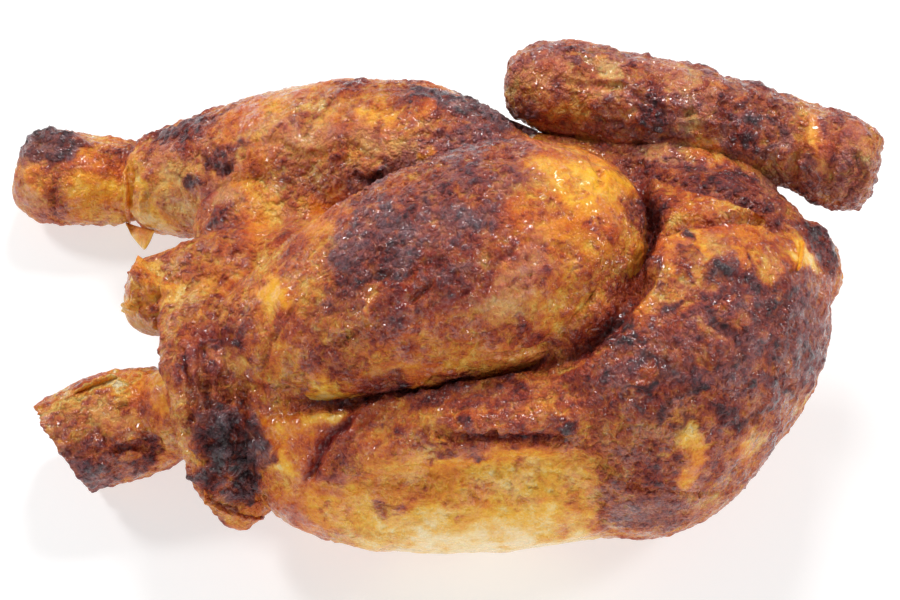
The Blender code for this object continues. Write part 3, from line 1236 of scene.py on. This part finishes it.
BREAST_PATCHES = (
    Patch(63, -12, 33, 37, Roast.MAROON),
    Patch(62, -5, 22, 14, Roast.PURPLE, 0, 0.7),
    Patch(60, -24, 22, 12, Roast.MAROON),
    Patch(68, 14.7, 20, 6, Roast.ORANGE),
    Patch(60, 13, 12, 5, Roast.GOLD, -5),
    Patch(70, 14, 14, 5, Roast.ORANGE),
    Patch(78, 12, 8, 6, Roast.RUST),
    Patch(45.5, -2, 4.5, 10, Roast.ORANGE, -15),
    Patch(50, 6, 4, 6, Roast.ORANGE, -20),
    Patch(56, 0, 6, 5, Roast.RUST, 0, 0.7),
    Patch(43, -13.5, 8, 6, Roast.MAROON),
    Patch(55, -19.5, 14, 6, Roast.PURPLE),
    Patch(66, -10, 10, 7, Roast.PURPLE),
    Patch(62, -14, 9, 5, Roast.DARK, 20, 0.7),
    Patch(70, 3.5, 5, 4, Roast.DARK, 0, 0.8),
    Patch(85, -8, 7, 15, Roast.PURPLE),
    Patch(77, -2, 3, 4, Roast.DARK, 0, 0.7),
    Patch(76, -27, 3, 3, Roast.CHAR, 0, 0.8),
    Patch(50, -28, 13, 6, Roast.MAROON),
    Patch(62, -27, 8, 5, Roast.MAROON),
    Patch(47, -36, 12, 5, Roast.MAROON),
    Patch(57.6, 16, 1.5, 1.3, Roast.CHAR, 0, 1.0, 1.2),
    Patch(50, 9.3, 1.3, 1.2, Roast.CHAR, 0, 1.0, 1.0),
    Patch(82, -3.7, 2.4, 2.4, Roast.CHAR, 0, 0.8, 0.8),
    Patch(50, -18.4, 2.4, 2, Roast.CHAR, 0, 0.7, 0.8),
    Patch(60.5, -40, 3.6, 9, Roast.GOLD, -10),
    Patch(72, -37, 3.4, 6, Roast.ORANGE, -20),
    Patch(82.5, -38, 4, 5, Roast.RUST, -30),
    Patch(68, -44, 4, 4, Roast.BROWN),
    Patch(91, -22, 1.8, 13, Roast.TAN, -20, 0.8),
    Patch(92, 14, 5, 8, Roast.DARK, 20),
    Patch(95, 0, 3, 10, Roast.BROWN),
    Patch(87.3, 11.5, 1.6, 5, Roast.BUTTER, 15),
    Patch(57.6, 25, 14, 8, Roast.RUST, -8),
    Patch(60, 24, 10, 6, Roast.AMBER_GLAZE, -8),
    Patch(54.4, 26, 4, 3.4, Roast.GOLD, 0, 0.8),
    Patch(71, 21, 6, 2.6, Roast.AMBER_GLAZE, -10),
    # Painted shade in the gap between the knee and the upper arm.
    Patch(47, 26, 3.4, 10, Roast.DARK),
    Patch(50.5, 28, 5, 5, Roast.BROWN, 0, 0.8),
    Patch(68, 24, 10, 4, Roast.RUST, -12, 0.8),
    # Painted shadow under the wing, this line and the next.
    Patch(71, 26, 13, 2.6, Roast.DARK, -20),
    Patch(82, 20.5, 5, 3, Roast.DARK),
    # Painted shade, glazed, in the gap between the knee and the upper arm.
    Patch(46, 30, 4, 5, Roast.DEEP_GLAZE),
)

WING_PATCHES = (
    Patch(56, 46, 48, 14, Roast.WING, -18),
    Patch(28, 53, 16, 7, Roast.SALMON, -8, 0.9),
    Patch(52, 54, 16, 3.4, Roast.SALMON, -14, 0.8),
    Patch(17.6, 50, 3.4, 3, Roast.MAROON, 0, 0.8),
    Patch(28, 46, 9, 4, Roast.RUST, -15, 0.7),
    Patch(49, 46, 4.5, 8, Roast.DARK, -20, 0.9),
    Patch(46, 42, 4, 3, Roast.ASH, 0, 0.5),
    Patch(69, 48, 6, 2.6, Roast.DARK, -20, 0.8),
    Patch(62, 41, 4, 3, Roast.MAROON),
    Patch(78.4, 41.6, 4.5, 4.5, Roast.CHAR, 0, 0.9),
    Patch(65, 35.5, 11, 3, Roast.ORANGE, -15, 0.8),
    # Painted shadow along the wing's lower edge and under it.
    Patch(61, 31, 22, 2.2, Roast.DARK, -14),
    Patch(89, 40, 4.2, 10, Roast.TAN, 20),
    Patch(91, 36, 2.2, 6, Roast.BUTTER, 20, 0.8),
    Patch(99, 32, 8, 9, Roast.WING, 0, 0.8),
    Patch(101, 38, 5, 4, Roast.SALMON, 0, 0.8),
    Patch(104, 30, 3, 6, Roast.MAROON, 0, 0.7),
    Patch(30.6, 56.4, 1.4, 1.4, Roast.RED_GLAZE, 0, 0.9, 0.8),
)

BACK = Side.BACK
BACK_PATCHES = (
    Patch(-62, 4, 34, 9, Roast.BROWN, -6, 0.7, side=BACK),
    Patch(-86, 6, 9, 8, Roast.MAROON, 0, 0.8, side=BACK),
    Patch(-32, -8, 12, 6, Roast.ORANGE, -8, 0.8, side=BACK),
    Patch(-58, 12, 16, 4, Roast.DARK, -10, 0.6, side=BACK),
    Patch(-62, -32, 26, 7, Roast.RUST, -18, 0.8, side=BACK),
    Patch(-74, -28, 12, 5, Roast.MAROON, -20, 0.8, side=BACK),
    Patch(-38, -45, 12, 7, Roast.ORANGE, -14, 0.8, side=BACK),
    Patch(-84, -40, 6, 6, Roast.DARK, 0, 0.7, side=BACK),
    Patch(-50, -52, 24, 4, Roast.GOLD, -12, 0.8, side=BACK),
    Patch(-4, -30, 16, 9, Roast.GOLD, -10, 0.8, side=BACK),
    Patch(10, -38, 18, 5, Roast.BUTTER, -14, 0.7, side=BACK),
    Patch(38, -16, 20, 10, Roast.SALMON, -28, 0.8, side=BACK),
    Patch(22, -8, 12, 6, Roast.MAROON, -20, 0.8, side=BACK),
    Patch(56, -46, 20, 6, Roast.GOLD, -20, 0.8, side=BACK),
    Patch(98, -62, 10, 5, Roast.ORANGE, 0, 0.8, side=BACK),
    Patch(0, 30, 24, 10, Roast.MAROON, -12, 0.7, side=BACK),
    Patch(-16, 36, 8, 8, Roast.YELLOW_FAT, 0, 0.8, side=BACK),
)

PATCHES = (
    *BACK_PATCHES,
    *FAR_LEG_PATCHES,
    *TAIL_PATCHES,
    *NEAR_LEG_PATCHES,
    *BELLY_PATCHES,
    *BREAST_PATCHES,
    *WING_PATCHES,
)


@dataclass(frozen=True)
class Scatter:
    """Small flecks, blisters and crumbs of several roasts, strewn over an oval of the skin."""

    x: float
    v: float
    along: float
    across: float
    count: int
    sizes: tuple[float, float]
    roasts: tuple[Roast, ...]
    turn: float = 0.0
    lift: float = 0.0
    strength: float = 0.6
    side: Side = Side.FRONT

    def patches(self, chance: random.Random) -> list[Patch]:
        """Strews the flecks."""
        strewn = []
        turn = math.radians(self.turn)
        for _ in range(self.count):
            angle, reach = chance.uniform(0, math.tau), math.sqrt(chance.random())
            a, b = math.cos(angle) * reach * self.along, math.sin(angle) * reach * self.across
            x = self.x + a * math.cos(turn) - b * math.sin(turn)
            v = self.v + a * math.sin(turn) + b * math.cos(turn)
            size = chance.uniform(*self.sizes)
            strewn.append(
                Patch(
                    x,
                    v,
                    size * chance.uniform(1.0, 1.9),
                    size,
                    chance.choice(self.roasts),
                    chance.uniform(0, 180),
                    self.strength,
                    self.lift * chance.uniform(0.5, 1.3),
                    self.side,
                )
            )
        return strewn


DARKS = (Roast.CHAR, Roast.DARK, Roast.PURPLE)
SCATTERS = (
    Scatter(62, -10, 27, 22, 120, (0.7, 2.0), DARKS, lift=0.5, strength=0.8),
    Scatter(60, 2, 26, 16, 60, (0.6, 1.5), (Roast.SALMON, Roast.RUST, Roast.RED_GLAZE)),
    Scatter(62, -24, 26, 14, 45, (0.6, 1.6), (Roast.RED_GLAZE, Roast.MAROON, Roast.RUST), lift=0.2),
    Scatter(33, 20, 10, 16, 60, (0.3, 0.7), (Roast.BROWN, Roast.RUST), 10, 0.0, 0.5),
    Scatter(22, 14, 10, 14, 26, (0.5, 1.2), (Roast.BROWN, Roast.MAROON, Roast.ORANGE)),
    Scatter(0, -46, 36, 9, 70, (0.3, 0.8), (Roast.BROWN, Roast.ORANGE, Roast.RUST)),
    Scatter(6, -33, 32, 6, 44, (0.6, 1.4), (Roast.MAROON, Roast.ORANGE, Roast.DARK), lift=0.3),
    Scatter(-6, 16, 20, 12, 46, (0.6, 1.6), (Roast.ASH, Roast.DARK, Roast.MAROON), 25, 0.4),
    Scatter(-18, -8, 24, 9, 46, (0.6, 1.5), (Roast.MAROON, Roast.ORANGE, Roast.RED_GLAZE), 25, 0.3),
    Scatter(
        56, 45, 46, 11, 90, (0.6, 1.8),
        (Roast.DARK, Roast.MAROON, Roast.SALMON, Roast.RUST),
        -18, 0.5,
    ),
    Scatter(
        -34, 34, 44, 14, 90, (0.6, 1.7),
        (Roast.MAROON, Roast.BROWN, Roast.ORANGE, Roast.SALMON),
        8, 0.3,
    ),
    Scatter(
        -74, 0, 3, 8, 36, (0.8, 1.6),
        (Roast.CRUMB, Roast.BUTTER, Roast.ORANGE, Roast.BROWN),
        0, 0.9, 0.8,
    ),
    Scatter(-58, 2, 13, 12, 60, (0.6, 1.6), (Roast.MAROON, Roast.ORANGE, Roast.BROWN), 0, 0.5),
    Scatter(-58, -18, 9, 14, 50, (0.7, 1.7), (Roast.MAROON, Roast.RED_GLAZE, Roast.DARK), 0, 0.5),
    Scatter(-54, -38, 9, 14, 60, (0.7, 1.7), (Roast.CHAR, Roast.ASH, Roast.DARK), 0, 0.7),
    Scatter(-82, -30, 18, 15, 50, (0.5, 1.5), (Roast.MAROON, Roast.ORANGE, Roast.BROWN), 15, 0.3),
    Scatter(-90, 28, 18, 12, 40, (0.5, 1.3), (Roast.BROWN, Roast.ORANGE, Roast.GOLD), 0, 0.3),
    Scatter(
        -60, -12, 36, 30, 110, (0.7, 1.8),
        (Roast.DARK, Roast.MAROON, Roast.ORANGE),
        -10, 0.4, side=BACK,
    ),
    Scatter(
        40, -24, 50, 24, 110, (0.7, 1.8),
        (Roast.BROWN, Roast.MAROON, Roast.ORANGE),
        -28, 0.3, side=BACK,
    ),
    Scatter(-99, 38, 8, 5, 30, (0.8, 1.6), (Roast.CHAR, Roast.ASH), -8, 0.6),
)


def first_hit(surfaces: list[BVHTree], side: ShowSide, mark: Mark) -> Vector | None:
    """Where a mark lies on the whole bird.

    Args:
        surfaces: the skins of all the parts.
        side: the side that the mark is given from.
        mark: the mark.

    Returns:
        The nearest place on any part, in metres, or None where the mark misses the bird.
    """
    hits = [surface.ray_cast(*side.ray(mark)) for surface in surfaces]
    near = min((hit for hit in hits if hit[0] is not None), key=lambda hit: hit[3], default=None)
    return near and near[0]


def find_patches(surfaces: list[BVHTree]) -> list[tuple[Patch, np.ndarray]]:
    """Finds every patch and fleck on the whole bird.

    Args:
        surfaces: the skins of all the parts.

    Returns:
        Each patch that lies on the bird, with its middle as its own side sees it.
    """
    chance = random.Random(FLECK_SEED)
    flecks = [patch for scatter in SCATTERS for patch in scatter.patches(chance)]
    found = []
    for patch in (*PATCHES, *flecks):
        side = patch.side.value
        hit = first_hit(surfaces, side, (patch.x, patch.v))
        if hit is not None:
            middle = np.array([hit])
            found.append((patch, side.plan(middle)[0] + wobble(middle)[0]))
    return found


# ---------------------------------------------------------------- torn edges of skin


@dataclass
class Tatter:
    """A thin torn edge of skin that stands off the flesh along a line of marks. It reaches out
    towards a direction of the view and is lifted towards the eye, both in millimetres."""

    name: str
    path: tuple[Mark, ...]
    towards: Mark
    reach: float
    lift: float
    roast: Roast
    edge: Roast
    thickness: float = 0.45
    ragged: float = 0.35
    pointed: bool = False
    seed: int = 1

    # The sheet's mesh, and how deep its root is sunk, in millimetres.
    step: float = 0.45
    rows: int = 9
    root_depth: float = 1.6

    # How far out the sheet reaches, as a share of its whole reach: about where its edge lies, the
    # least that is left of it, and what is left at both ends of its line.
    usual_edge: float = 0.8
    least_edge: float = 0.15
    end_edge: float = 0.25

    # Tears and ripples: their sizes along the line in millimetres, and their strengths.
    tear_size: float = 4.0
    fine_tear_size: float = 1.3
    fine_tear: float = 0.45
    ripple_size: float = 2.6
    ripple: float = 0.6

    def build(self, surfaces: list[BVHTree]) -> bpy.types.Object:
        """Builds the torn edge.

        Args:
            surfaces: the skins that it stands on.

        Returns:
            The finished mesh object.
        """
        line = self.find_line(surfaces)
        deselect_all()
        bpy.ops.mesh.primitive_grid_add(
            x_subdivisions=len(line) - 1, y_subdivisions=self.rows - 1, size=1.0
        )
        sheet = bpy.context.object
        sheet.name = self.name
        sheet.data.name = self.name
        places, shares = self.lay_out(line)
        sheet.data.vertices.foreach_set("co", places.astype(np.float32).ravel())
        sheet.data.update()
        self.write_states(sheet, shares)
        apply_modifier(
            sheet, "SOLIDIFY", thickness=self.thickness * MM, offset=0.0, use_even_offset=False
        )
        apply_modifier(sheet, "SUBSURF", levels=1, render_levels=1)
        edit_whole(sheet, bpy.ops.mesh.normals_make_consistent, inside=False)
        bpy.ops.object.shade_smooth()
        return sheet

    def find_line(self, surfaces: list[BVHTree]) -> np.ndarray:
        """The smoothed points of the path on the bird, in metres."""
        side = Side.FRONT.value
        hits = (first_hit(surfaces, side, mark) for mark in marks_along(self.path, self.step, False))
        line = np.array([hit for hit in hits if hit is not None])
        for _ in range(4):
            line[1:-1] = (line[:-2] + line[1:-1] * 2 + line[2:]) / 4
        return line

    def edge_reach(self, i: int, count: int) -> float:
        """How far out the torn edge lies at one point of the line, in millimetres."""
        at = i * self.step
        tear = noise.noise((at / self.tear_size, self.seed, 0))
        tear += self.fine_tear * noise.noise((at / self.fine_tear_size, self.seed, 9))
        share = self.usual_edge + self.ragged * tear
        if self.pointed:
            share = 1.15 * (1 - abs(2 * i / (count - 1) - 1)) ** 0.8 + 0.05
        taper = min(1.0, self.end_edge + 6 * min(i, count - 1 - i) / count)
        return self.reach * max(share, self.least_edge) * taper

    def lay_out(self, line: np.ndarray) -> tuple[np.ndarray, np.ndarray]:
        """Lays out the sheet's points, row by row, and how near each is to the free edge."""
        right, up, eye = (np.array(axis) for axis in Side.FRONT.value.axes())
        out = right * self.towards[0] + up * self.towards[1]
        lengths = [self.edge_reach(i, len(line)) for i in range(len(line))]
        places, shares = [], []
        for row in range(self.rows):
            share = row / (self.rows - 1)
            for i, base in enumerate(line):
                at = i * self.step / self.ripple_size
                ripple = noise.noise((at, share * 2, self.seed)) * self.ripple * self.lift * share
                rise = self.lift * math.sin(share * 2.3) + ripple - self.root_depth * (1 - share) ** 2
                places.append(base + (out * lengths[i] * share + eye * rise) * MM)
                shares.append(share)
        return np.array(places), np.array(shares)

    def write_states(self, sheet: bpy.types.Object, shares: np.ndarray) -> None:
        """Roasts the sheet, its free edge differently from its root."""
        for name, root, edge in zip(CHANNELS, self.roast.value, self.edge.value):
            store(sheet, name, root + (edge - root) * np.clip(shares * 2 - 0.8, 0, 1))
        store(sheet, "relief", np.full(len(shares), 0.5))


TATTERS = (
    Tatter(
        "lifted_back_skin",
        ((-10, 49.0), (0, 48.2), (7, 46.6), (14.7, 44.3), (22, 41.2)),
        (-0.25, -1.0), 3.0, 0.7, Roast.CHAR, Roast.ASH, ragged=0.7, seed=2,
    ),
    Tatter(
        "far_ankle_cuff",
        ((-79, 33), (-78.6, 26), (-78.4, 17)),
        (-1.0, 0.0), 1.2, 0.5, Roast.GOLD, Roast.TAN,
    ),
    Tatter(
        "far_ankle_shred",
        ((-79.5, 19), (-76.5, 18), (-72, 17)),
        (0.05, -1.0), 5.0, 0.0, Roast.TAN, Roast.BUTTER, pointed=True,
    ),
    Tatter(
        "vent_edge",
        ((-60, -46), (-57, -49.5), (-52, -52), (-44, -53.5)),
        (-0.6, -0.8), 2.4, 0.4, Roast.BROWN, Roast.ORANGE, ragged=0.7, seed=5,
    ),
    Tatter(
        "near_ankle_torn_edge",
        ((-92, -23), (-87, -21), (-81, -19)),
        (-0.3, 1.0), 1.6, 0.4, Roast.GOLD, Roast.CRUMB, ragged=1.0, seed=6,
    ),
    Tatter(
        "neck_skin_spike",
        ((85, 7), (85.6, 11), (86, 15)),
        (1.0, 0.4), 1.3, 0.5, Roast.BUTTER, Roast.GOLD, seed=7,
    ),
)


# ---------------------------------------------------------------- finishes


@dataclass(frozen=True)
class RoastedSkin:
    """Roasted chicken skin: rendered fat under a browned protein crust. It is cream or yellow and
    waxy where pale, orange to maroon where browned, wet where glazed, and matt black where
    charred. Tones run from bare to burnt, one row for lean skin and one for fatty skin."""

    name: str = "roasted_chicken_skin"
    lean_tones: tuple[tuple[float, str], ...] = (
        (0.00, "#F8E0B0"),
        (0.15, "#F4C468"),
        (0.30, "#E99A40"),
        (0.45, "#D87238"),
        (0.60, "#B44A2C"),
        (0.74, "#883029"),
        (0.88, "#521C20"),
        (1.00, "#2A1014"),
    )
    fat_tones: tuple[tuple[float, str], ...] = (
        (0.00, "#FBE29C"),
        (0.15, "#F7B616"),
        (0.32, "#E88604"),
        (0.50, "#C85206"),
        (0.70, "#963014"),
        (1.00, "#301010"),
    )
    # Patterns of the skin: their names, sizes in millimetres and, for the waves, detail. Wrinkles
    # and flecks are about life size, and pores are drawn coarser than life so that they show.
    waves: tuple[tuple[str, float, float], ...] = (
        ("blotch", 11.0, 4.0),
        ("mottle", 3.6, 4.0),
        ("fleck", 1.2, 3.0),
        ("pore", 0.5, 2.0),
        ("ripple", 3.2, 0.5),
        ("dimple", 1.3, 0.0),
    )
    cells: tuple[tuple[str, float], ...] = (("grain", 2.1), ("crumb", 1.0))
    cell_bend: float = 1.6

    # How much each pattern changes the skin's tone, its relief and the relief of the film of fat.
    tone_amounts: tuple[tuple[str, float], ...] = (
        ("blotch", 0.6),
        ("mottle", 0.55),
        ("fleck", 0.4),
        ("pore", 0.35),
        ("grain", 0.35),
        ("crumb", 0.2),
    )
    bump_amounts: tuple[tuple[str, float], ...] = (
        ("mottle", 0.8),
        ("fleck", 0.8),
        ("pore", 0.3),
        ("grain", 1.2),
        ("crumb", 0.6),
    )
    film_amounts: tuple[tuple[str, float], ...] = (("ripple", 1.0), ("dimple", 0.5))
    film_cover: tuple[float, float] = (0.15, 1.0)
    bump_depth: float = 2.2
    relief_tone: float = 0.15

    # What covers the browned skin, and how thickly.
    glaze_tone: str = "#840A02"
    glaze_cover: float = 1.2
    char_tone: str = "#251713"
    char_cover: float = 0.6
    # The grey is ash on charred skin, and painted sheen on the thigh and the dark breast.
    ash_and_sheen_tone: str = "#94808A"
    ash_and_sheen_cover: float = 0.6

    # Fatty skin is glossy in places. Char is rougher than that, and glaze is smoother.
    roughness_range: tuple[float, float] = (0.18, 0.38)
    char_roughness: float = 0.15
    glaze_smoothness: float = 0.22

    def make(self) -> bpy.types.Material:
        """Returns the material."""
        material = bpy.data.materials.new(self.name)
        material.use_nodes = True
        tree = material.node_tree
        tree.nodes.clear()
        where = add_node(tree, "TexCoord").outputs["Object"]
        state = {
            name: add_node(tree, "Attribute", {"attribute_name": name}).outputs["Fac"]
            for name in (*CHANNELS, "relief")
        }
        pattern = self.patterns(tree, where, state)
        film = {0: state["glaze"], 1: self.greasy(tree, where)}
        shader = add_node(
            tree,
            "BsdfPrincipled",
            {
                "IOR": 1.45,
                "Subsurface Weight": 0.1,
                "Subsurface Radius": (0.0022, 0.0009, 0.0004),
                "Subsurface Scale": 1.0,
                "Specular IOR Level": 0.3,
                "Coat Roughness": 0.12,
            },
            {
                "Base Color": self.coloured(tree, self.mottled(tree, pattern, state), state),
                "Roughness": self.roughness(tree, where, state),
                "Normal": self.bumpy(tree, pattern, state, self.bump_amounts),
                "Coat Normal": self.bumpy(tree, pattern, state, self.film_amounts),
                "Coat Weight": add_node(tree, "Math", {"operation": "MAXIMUM"}, film),
            },
        )
        add_node(tree, "OutputMaterial", links={"Surface": shader})
        return material

    def patterns(
        self, tree: bpy.types.NodeTree, where: Source, state: dict[str, Source]
    ) -> dict[str, Source]:
        """The patterns that both the colour and the relief of the skin follow, each about zero."""
        made = {}
        for name, size, detail in self.waves:
            settings = {"Scale": per_mm(size), "Detail": detail, "Roughness": 0.55}
            wave = add_node(tree, "TexNoise", settings, {"Vector": where})
            made[name] = add_node(tree, "Math", {"operation": "SUBTRACT", 1: 0.5}, {0: wave})
        bent = add_node(tree, "TexNoise", {"Scale": per_mm(2.5), "Detail": 2.0}, {"Vector": where})
        settings = {"operation": "SCALE", "Scale": self.cell_bend * MM}
        shift = add_node(tree, "VectorMath", settings, {0: bent.outputs["Color"]})
        moved = add_node(tree, "VectorMath", {"operation": "ADD"}, {0: where, 1: shift})
        for name, size in self.cells:
            settings = {"Scale": per_mm(size), "feature": "F1"}
            cell = add_node(tree, "TexVoronoi", settings, {"Vector": moved})
            centred = add_node(tree, "Math", {"operation": "SUBTRACT", 0: 0.42}, {1: cell})
            links = {0: centred, 1: state["rough"]}
            made[name] = add_node(tree, "Math", {"operation": "MULTIPLY"}, links)
        return made

    def mixed(
        self,
        tree: bpy.types.NodeTree,
        pattern: dict[str, Source],
        amounts: tuple[tuple[str, float], ...],
    ) -> Source:
        """The sum of patterns, each times its amount."""
        total = None
        for name, amount in amounts:
            part = add_node(tree, "Math", {"operation": "MULTIPLY", 1: amount}, {0: pattern[name]})
            if total is None:
                total = part
            else:
                total = add_node(tree, "Math", {"operation": "ADD"}, {0: total, 1: part})
        return total

    def mottled(
        self, tree: bpy.types.NodeTree, pattern: dict[str, Source], state: dict[str, Source]
    ) -> Source:
        """How brown the skin is, with its blotches, mottling and flecks."""
        busy = add_node(tree, "MapRange", {"ends": (0.0, 0.6, 0.3, 1.0)}, {"Value": state["rough"]})
        browned = {"ends": (0.2, 0.8, -self.relief_tone, self.relief_tone)}
        height = add_node(tree, "MapRange", browned, {"Value": state["relief"]})
        uneven = self.mixed(tree, pattern, self.tone_amounts)
        uneven = add_node(tree, "Math", {"operation": "ADD"}, {0: uneven, 1: height})
        eased = add_node(tree, "Math", {"operation": "MULTIPLY"}, {0: uneven, 1: busy})
        tone = add_node(tree, "Math", {"operation": "ADD"}, {0: state["brown"], 1: eased})
        return add_node(tree, "Math", {"operation": "MAXIMUM", 1: 0.0}, {0: tone})

    def coloured(
        self, tree: bpy.types.NodeTree, tone: Source, state: dict[str, Source]
    ) -> Source:
        """The skin's colour from its tone and fat, under its glaze, char, and grey of ash and painted
        sheen.
        """
        lean = add_node(tree, "ValToRGB", {"stops": self.lean_tones}, {0: tone})
        fat = add_node(tree, "ValToRGB", {"stops": self.fat_tones}, {0: tone})
        links = {0: state["fat"], 6: lean, 7: fat}
        colour = add_node(tree, "Mix", {"data_type": "RGBA"}, links).outputs[2]
        covers = (
            ("glaze", self.glaze_tone, self.glaze_cover),
            ("char", self.char_tone, self.char_cover),
            ("ash", self.ash_and_sheen_tone, self.ash_and_sheen_cover),
        )
        for name, tint, cover in covers:
            share = add_node(tree, "Math", {"operation": "MULTIPLY", 1: cover}, {0: state[name]})
            if name == "glaze":
                # Glaze reddens only what is browned.
                links = {0: share, 1: state["brown"]}
                share = add_node(tree, "Math", {"operation": "MULTIPLY"}, links)
            settings = {"data_type": "RGBA", 7: srgb(tint)}
            colour = add_node(tree, "Mix", settings, {0: share, 6: colour}).outputs[2]
        return colour

    def greasy(self, tree: bpy.types.NodeTree, where: Source) -> Source:
        """How much of the skin a film of rendered fat covers."""
        film = add_node(tree, "TexNoise", {"Scale": per_mm(6.0), "Detail": 3.0}, {"Vector": where})
        return add_node(tree, "MapRange", {"ends": (0.45, 0.6, *self.film_cover)}, {"Value": film})

    def roughness(
        self, tree: bpy.types.NodeTree, where: Source, state: dict[str, Source]
    ) -> Source:
        """Greasy shine that comes and goes, gone where the skin is charred."""
        grease = add_node(tree, "TexNoise", {"Scale": per_mm(5.0), "Detail": 4.0}, {"Vector": where})
        settings = {"ends": (0.3, 0.7, *self.roughness_range)}
        value = add_node(tree, "MapRange", settings, {"Value": grease})
        settings = {"operation": "MULTIPLY_ADD", 1: self.char_roughness}
        charred = add_node(tree, "Math", settings, {0: state["char"], 2: value})
        settings = {"operation": "MULTIPLY", 1: self.glaze_smoothness}
        wet = add_node(tree, "Math", settings, {0: state["glaze"]})
        settings = {"operation": "SUBTRACT", "use_clamp": True}
        return add_node(tree, "Math", settings, {0: charred, 1: wet})

    def bumpy(
        self,
        tree: bpy.types.NodeTree,
        pattern: dict[str, Source],
        state: dict[str, Source],
        amounts: tuple[tuple[str, float], ...],
    ) -> Source:
        """Pores, wrinkles and grains that are finer than the mesh."""
        settings = {"ends": (0.0, 0.7, 0.3, 1.0)}
        strength = add_node(tree, "MapRange", settings, {"Value": state["rough"]})
        links = {"Height": self.mixed(tree, pattern, amounts), "Strength": strength}
        return add_node(tree, "Bump", {"Distance": self.bump_depth * MM}, links)


@dataclass(frozen=True)
class StudioPaper:
    """Matt white background paper."""

    name: str = "studio_paper"
    tone: str = "#BCBCBC"
    roughness: float = 0.9
    glow: float = 1.2

    def make(self) -> bpy.types.Material:
        """Returns the material."""
        material = bpy.data.materials.new(self.name)
        material.use_nodes = True
        shader = material.node_tree.nodes["Principled BSDF"]
        shader.inputs["Base Color"].default_value = srgb(self.tone)
        shader.inputs["Roughness"].default_value = self.roughness
        shader.inputs["Emission Color"].default_value = srgb(self.tone)
        shader.inputs["Emission Strength"].default_value = self.glow
        return material


# ---------------------------------------------------------------- the studio


@dataclass
class Studio:
    """The pale floor, the soft lights and the camera. Each softbox has a name, a place in metres, a
    power in watts and a side in metres, and they all point at the bird's middle."""

    floor_side: float = 6.0
    lens: float = 150.0
    sensor: float = 36.0
    surround: float = 0.22
    lit_point: tuple[float, float, float] = (0.0, 0.0, 0.03)
    softboxes: tuple[tuple[str, tuple[float, float, float], float, float], ...] = (
        ("left_softbox", (-0.75, 0.35, 0.75), 5.6, 0.22),
        ("right_softbox", (0.8, 0.1, 0.6), 3.4, 0.22),
        ("back_softbox", (0.1, 0.65, 0.9), 6.2, 0.24),
        ("front_softbox", (0.15, -1.0, 0.4), 3.8, 0.9),
    )

    def build(self) -> None:
        """Makes the floor, the lights, the world and the camera."""
        deselect_all()
        bpy.ops.mesh.primitive_plane_add(size=self.floor_side)
        floor = bpy.context.object
        floor.name = "studio_floor"
        floor.data.materials.append(StudioPaper().make())
        self.add_world()
        for name, place, power, side in self.softboxes:
            self.add_light(name, place, power, side)
        self.add_camera()
        bpy.context.scene.view_settings.view_transform = "Standard"

    def add_world(self) -> None:
        """An even white surround."""
        world = bpy.data.worlds.new("studio")
        world.use_nodes = True
        surround = world.node_tree.nodes["Background"]
        surround.inputs["Color"].default_value = (1.0, 1.0, 1.0, 1.0)
        surround.inputs["Strength"].default_value = self.surround
        bpy.context.scene.world = world

    def add_light(
        self, name: str, place: tuple[float, float, float], power: float, side: float
    ) -> None:
        """Adds a square soft light that points at the bird."""
        light = bpy.data.lights.new(name, "AREA")
        light.size = side
        light.energy = power
        lamp = bpy.data.objects.new(name, light)
        lamp.location = place
        aim = Vector(self.lit_point) - lamp.location
        lamp.rotation_euler = aim.to_track_quat("-Z", "Y").to_euler()
        bpy.context.scene.collection.objects.link(lamp)

    def add_camera(self) -> None:
        """Adds the camera at the show side's eye."""
        side = Side.FRONT.value
        lens = bpy.data.cameras.new("camera")
        lens.lens = self.lens
        lens.sensor_width = self.sensor
        camera = bpy.data.objects.new("camera", lens)
        camera.location = side.eye()
        aim = side.target * MM - camera.location
        camera.rotation_euler = aim.to_track_quat("-Z", "Y").to_euler()
        bpy.context.scene.collection.objects.link(camera)
        bpy.context.scene.camera = camera


def main() -> None:
    """Builds the bird and the studio."""
    logging.basicConfig(level=logging.INFO, format="%(message)s")
    noise.seed_set(WOBBLE_SEED)
    skin = RoastedSkin().make()
    parts = (Trunk(), NearLeg(), FarLeg(), NearWing(), FarWing(), BellyFlap())
    for part in parts:
        part.model()
    surfaces = [part.surface for part in parts]
    patches = find_patches(surfaces)
    pieces = [part.finish(patches) for part in parts]
    pieces += [tatter.build(surfaces) for tatter in TATTERS]
    for piece in pieces:
        piece.data.materials.clear()
        piece.data.materials.append(skin)
        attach(piece, BODY)
        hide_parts(NODE)
        log.info("%s: %d faces", piece.name, len(piece.data.polygons))
    Studio().build()


if __name__ == "__main__":
    main()
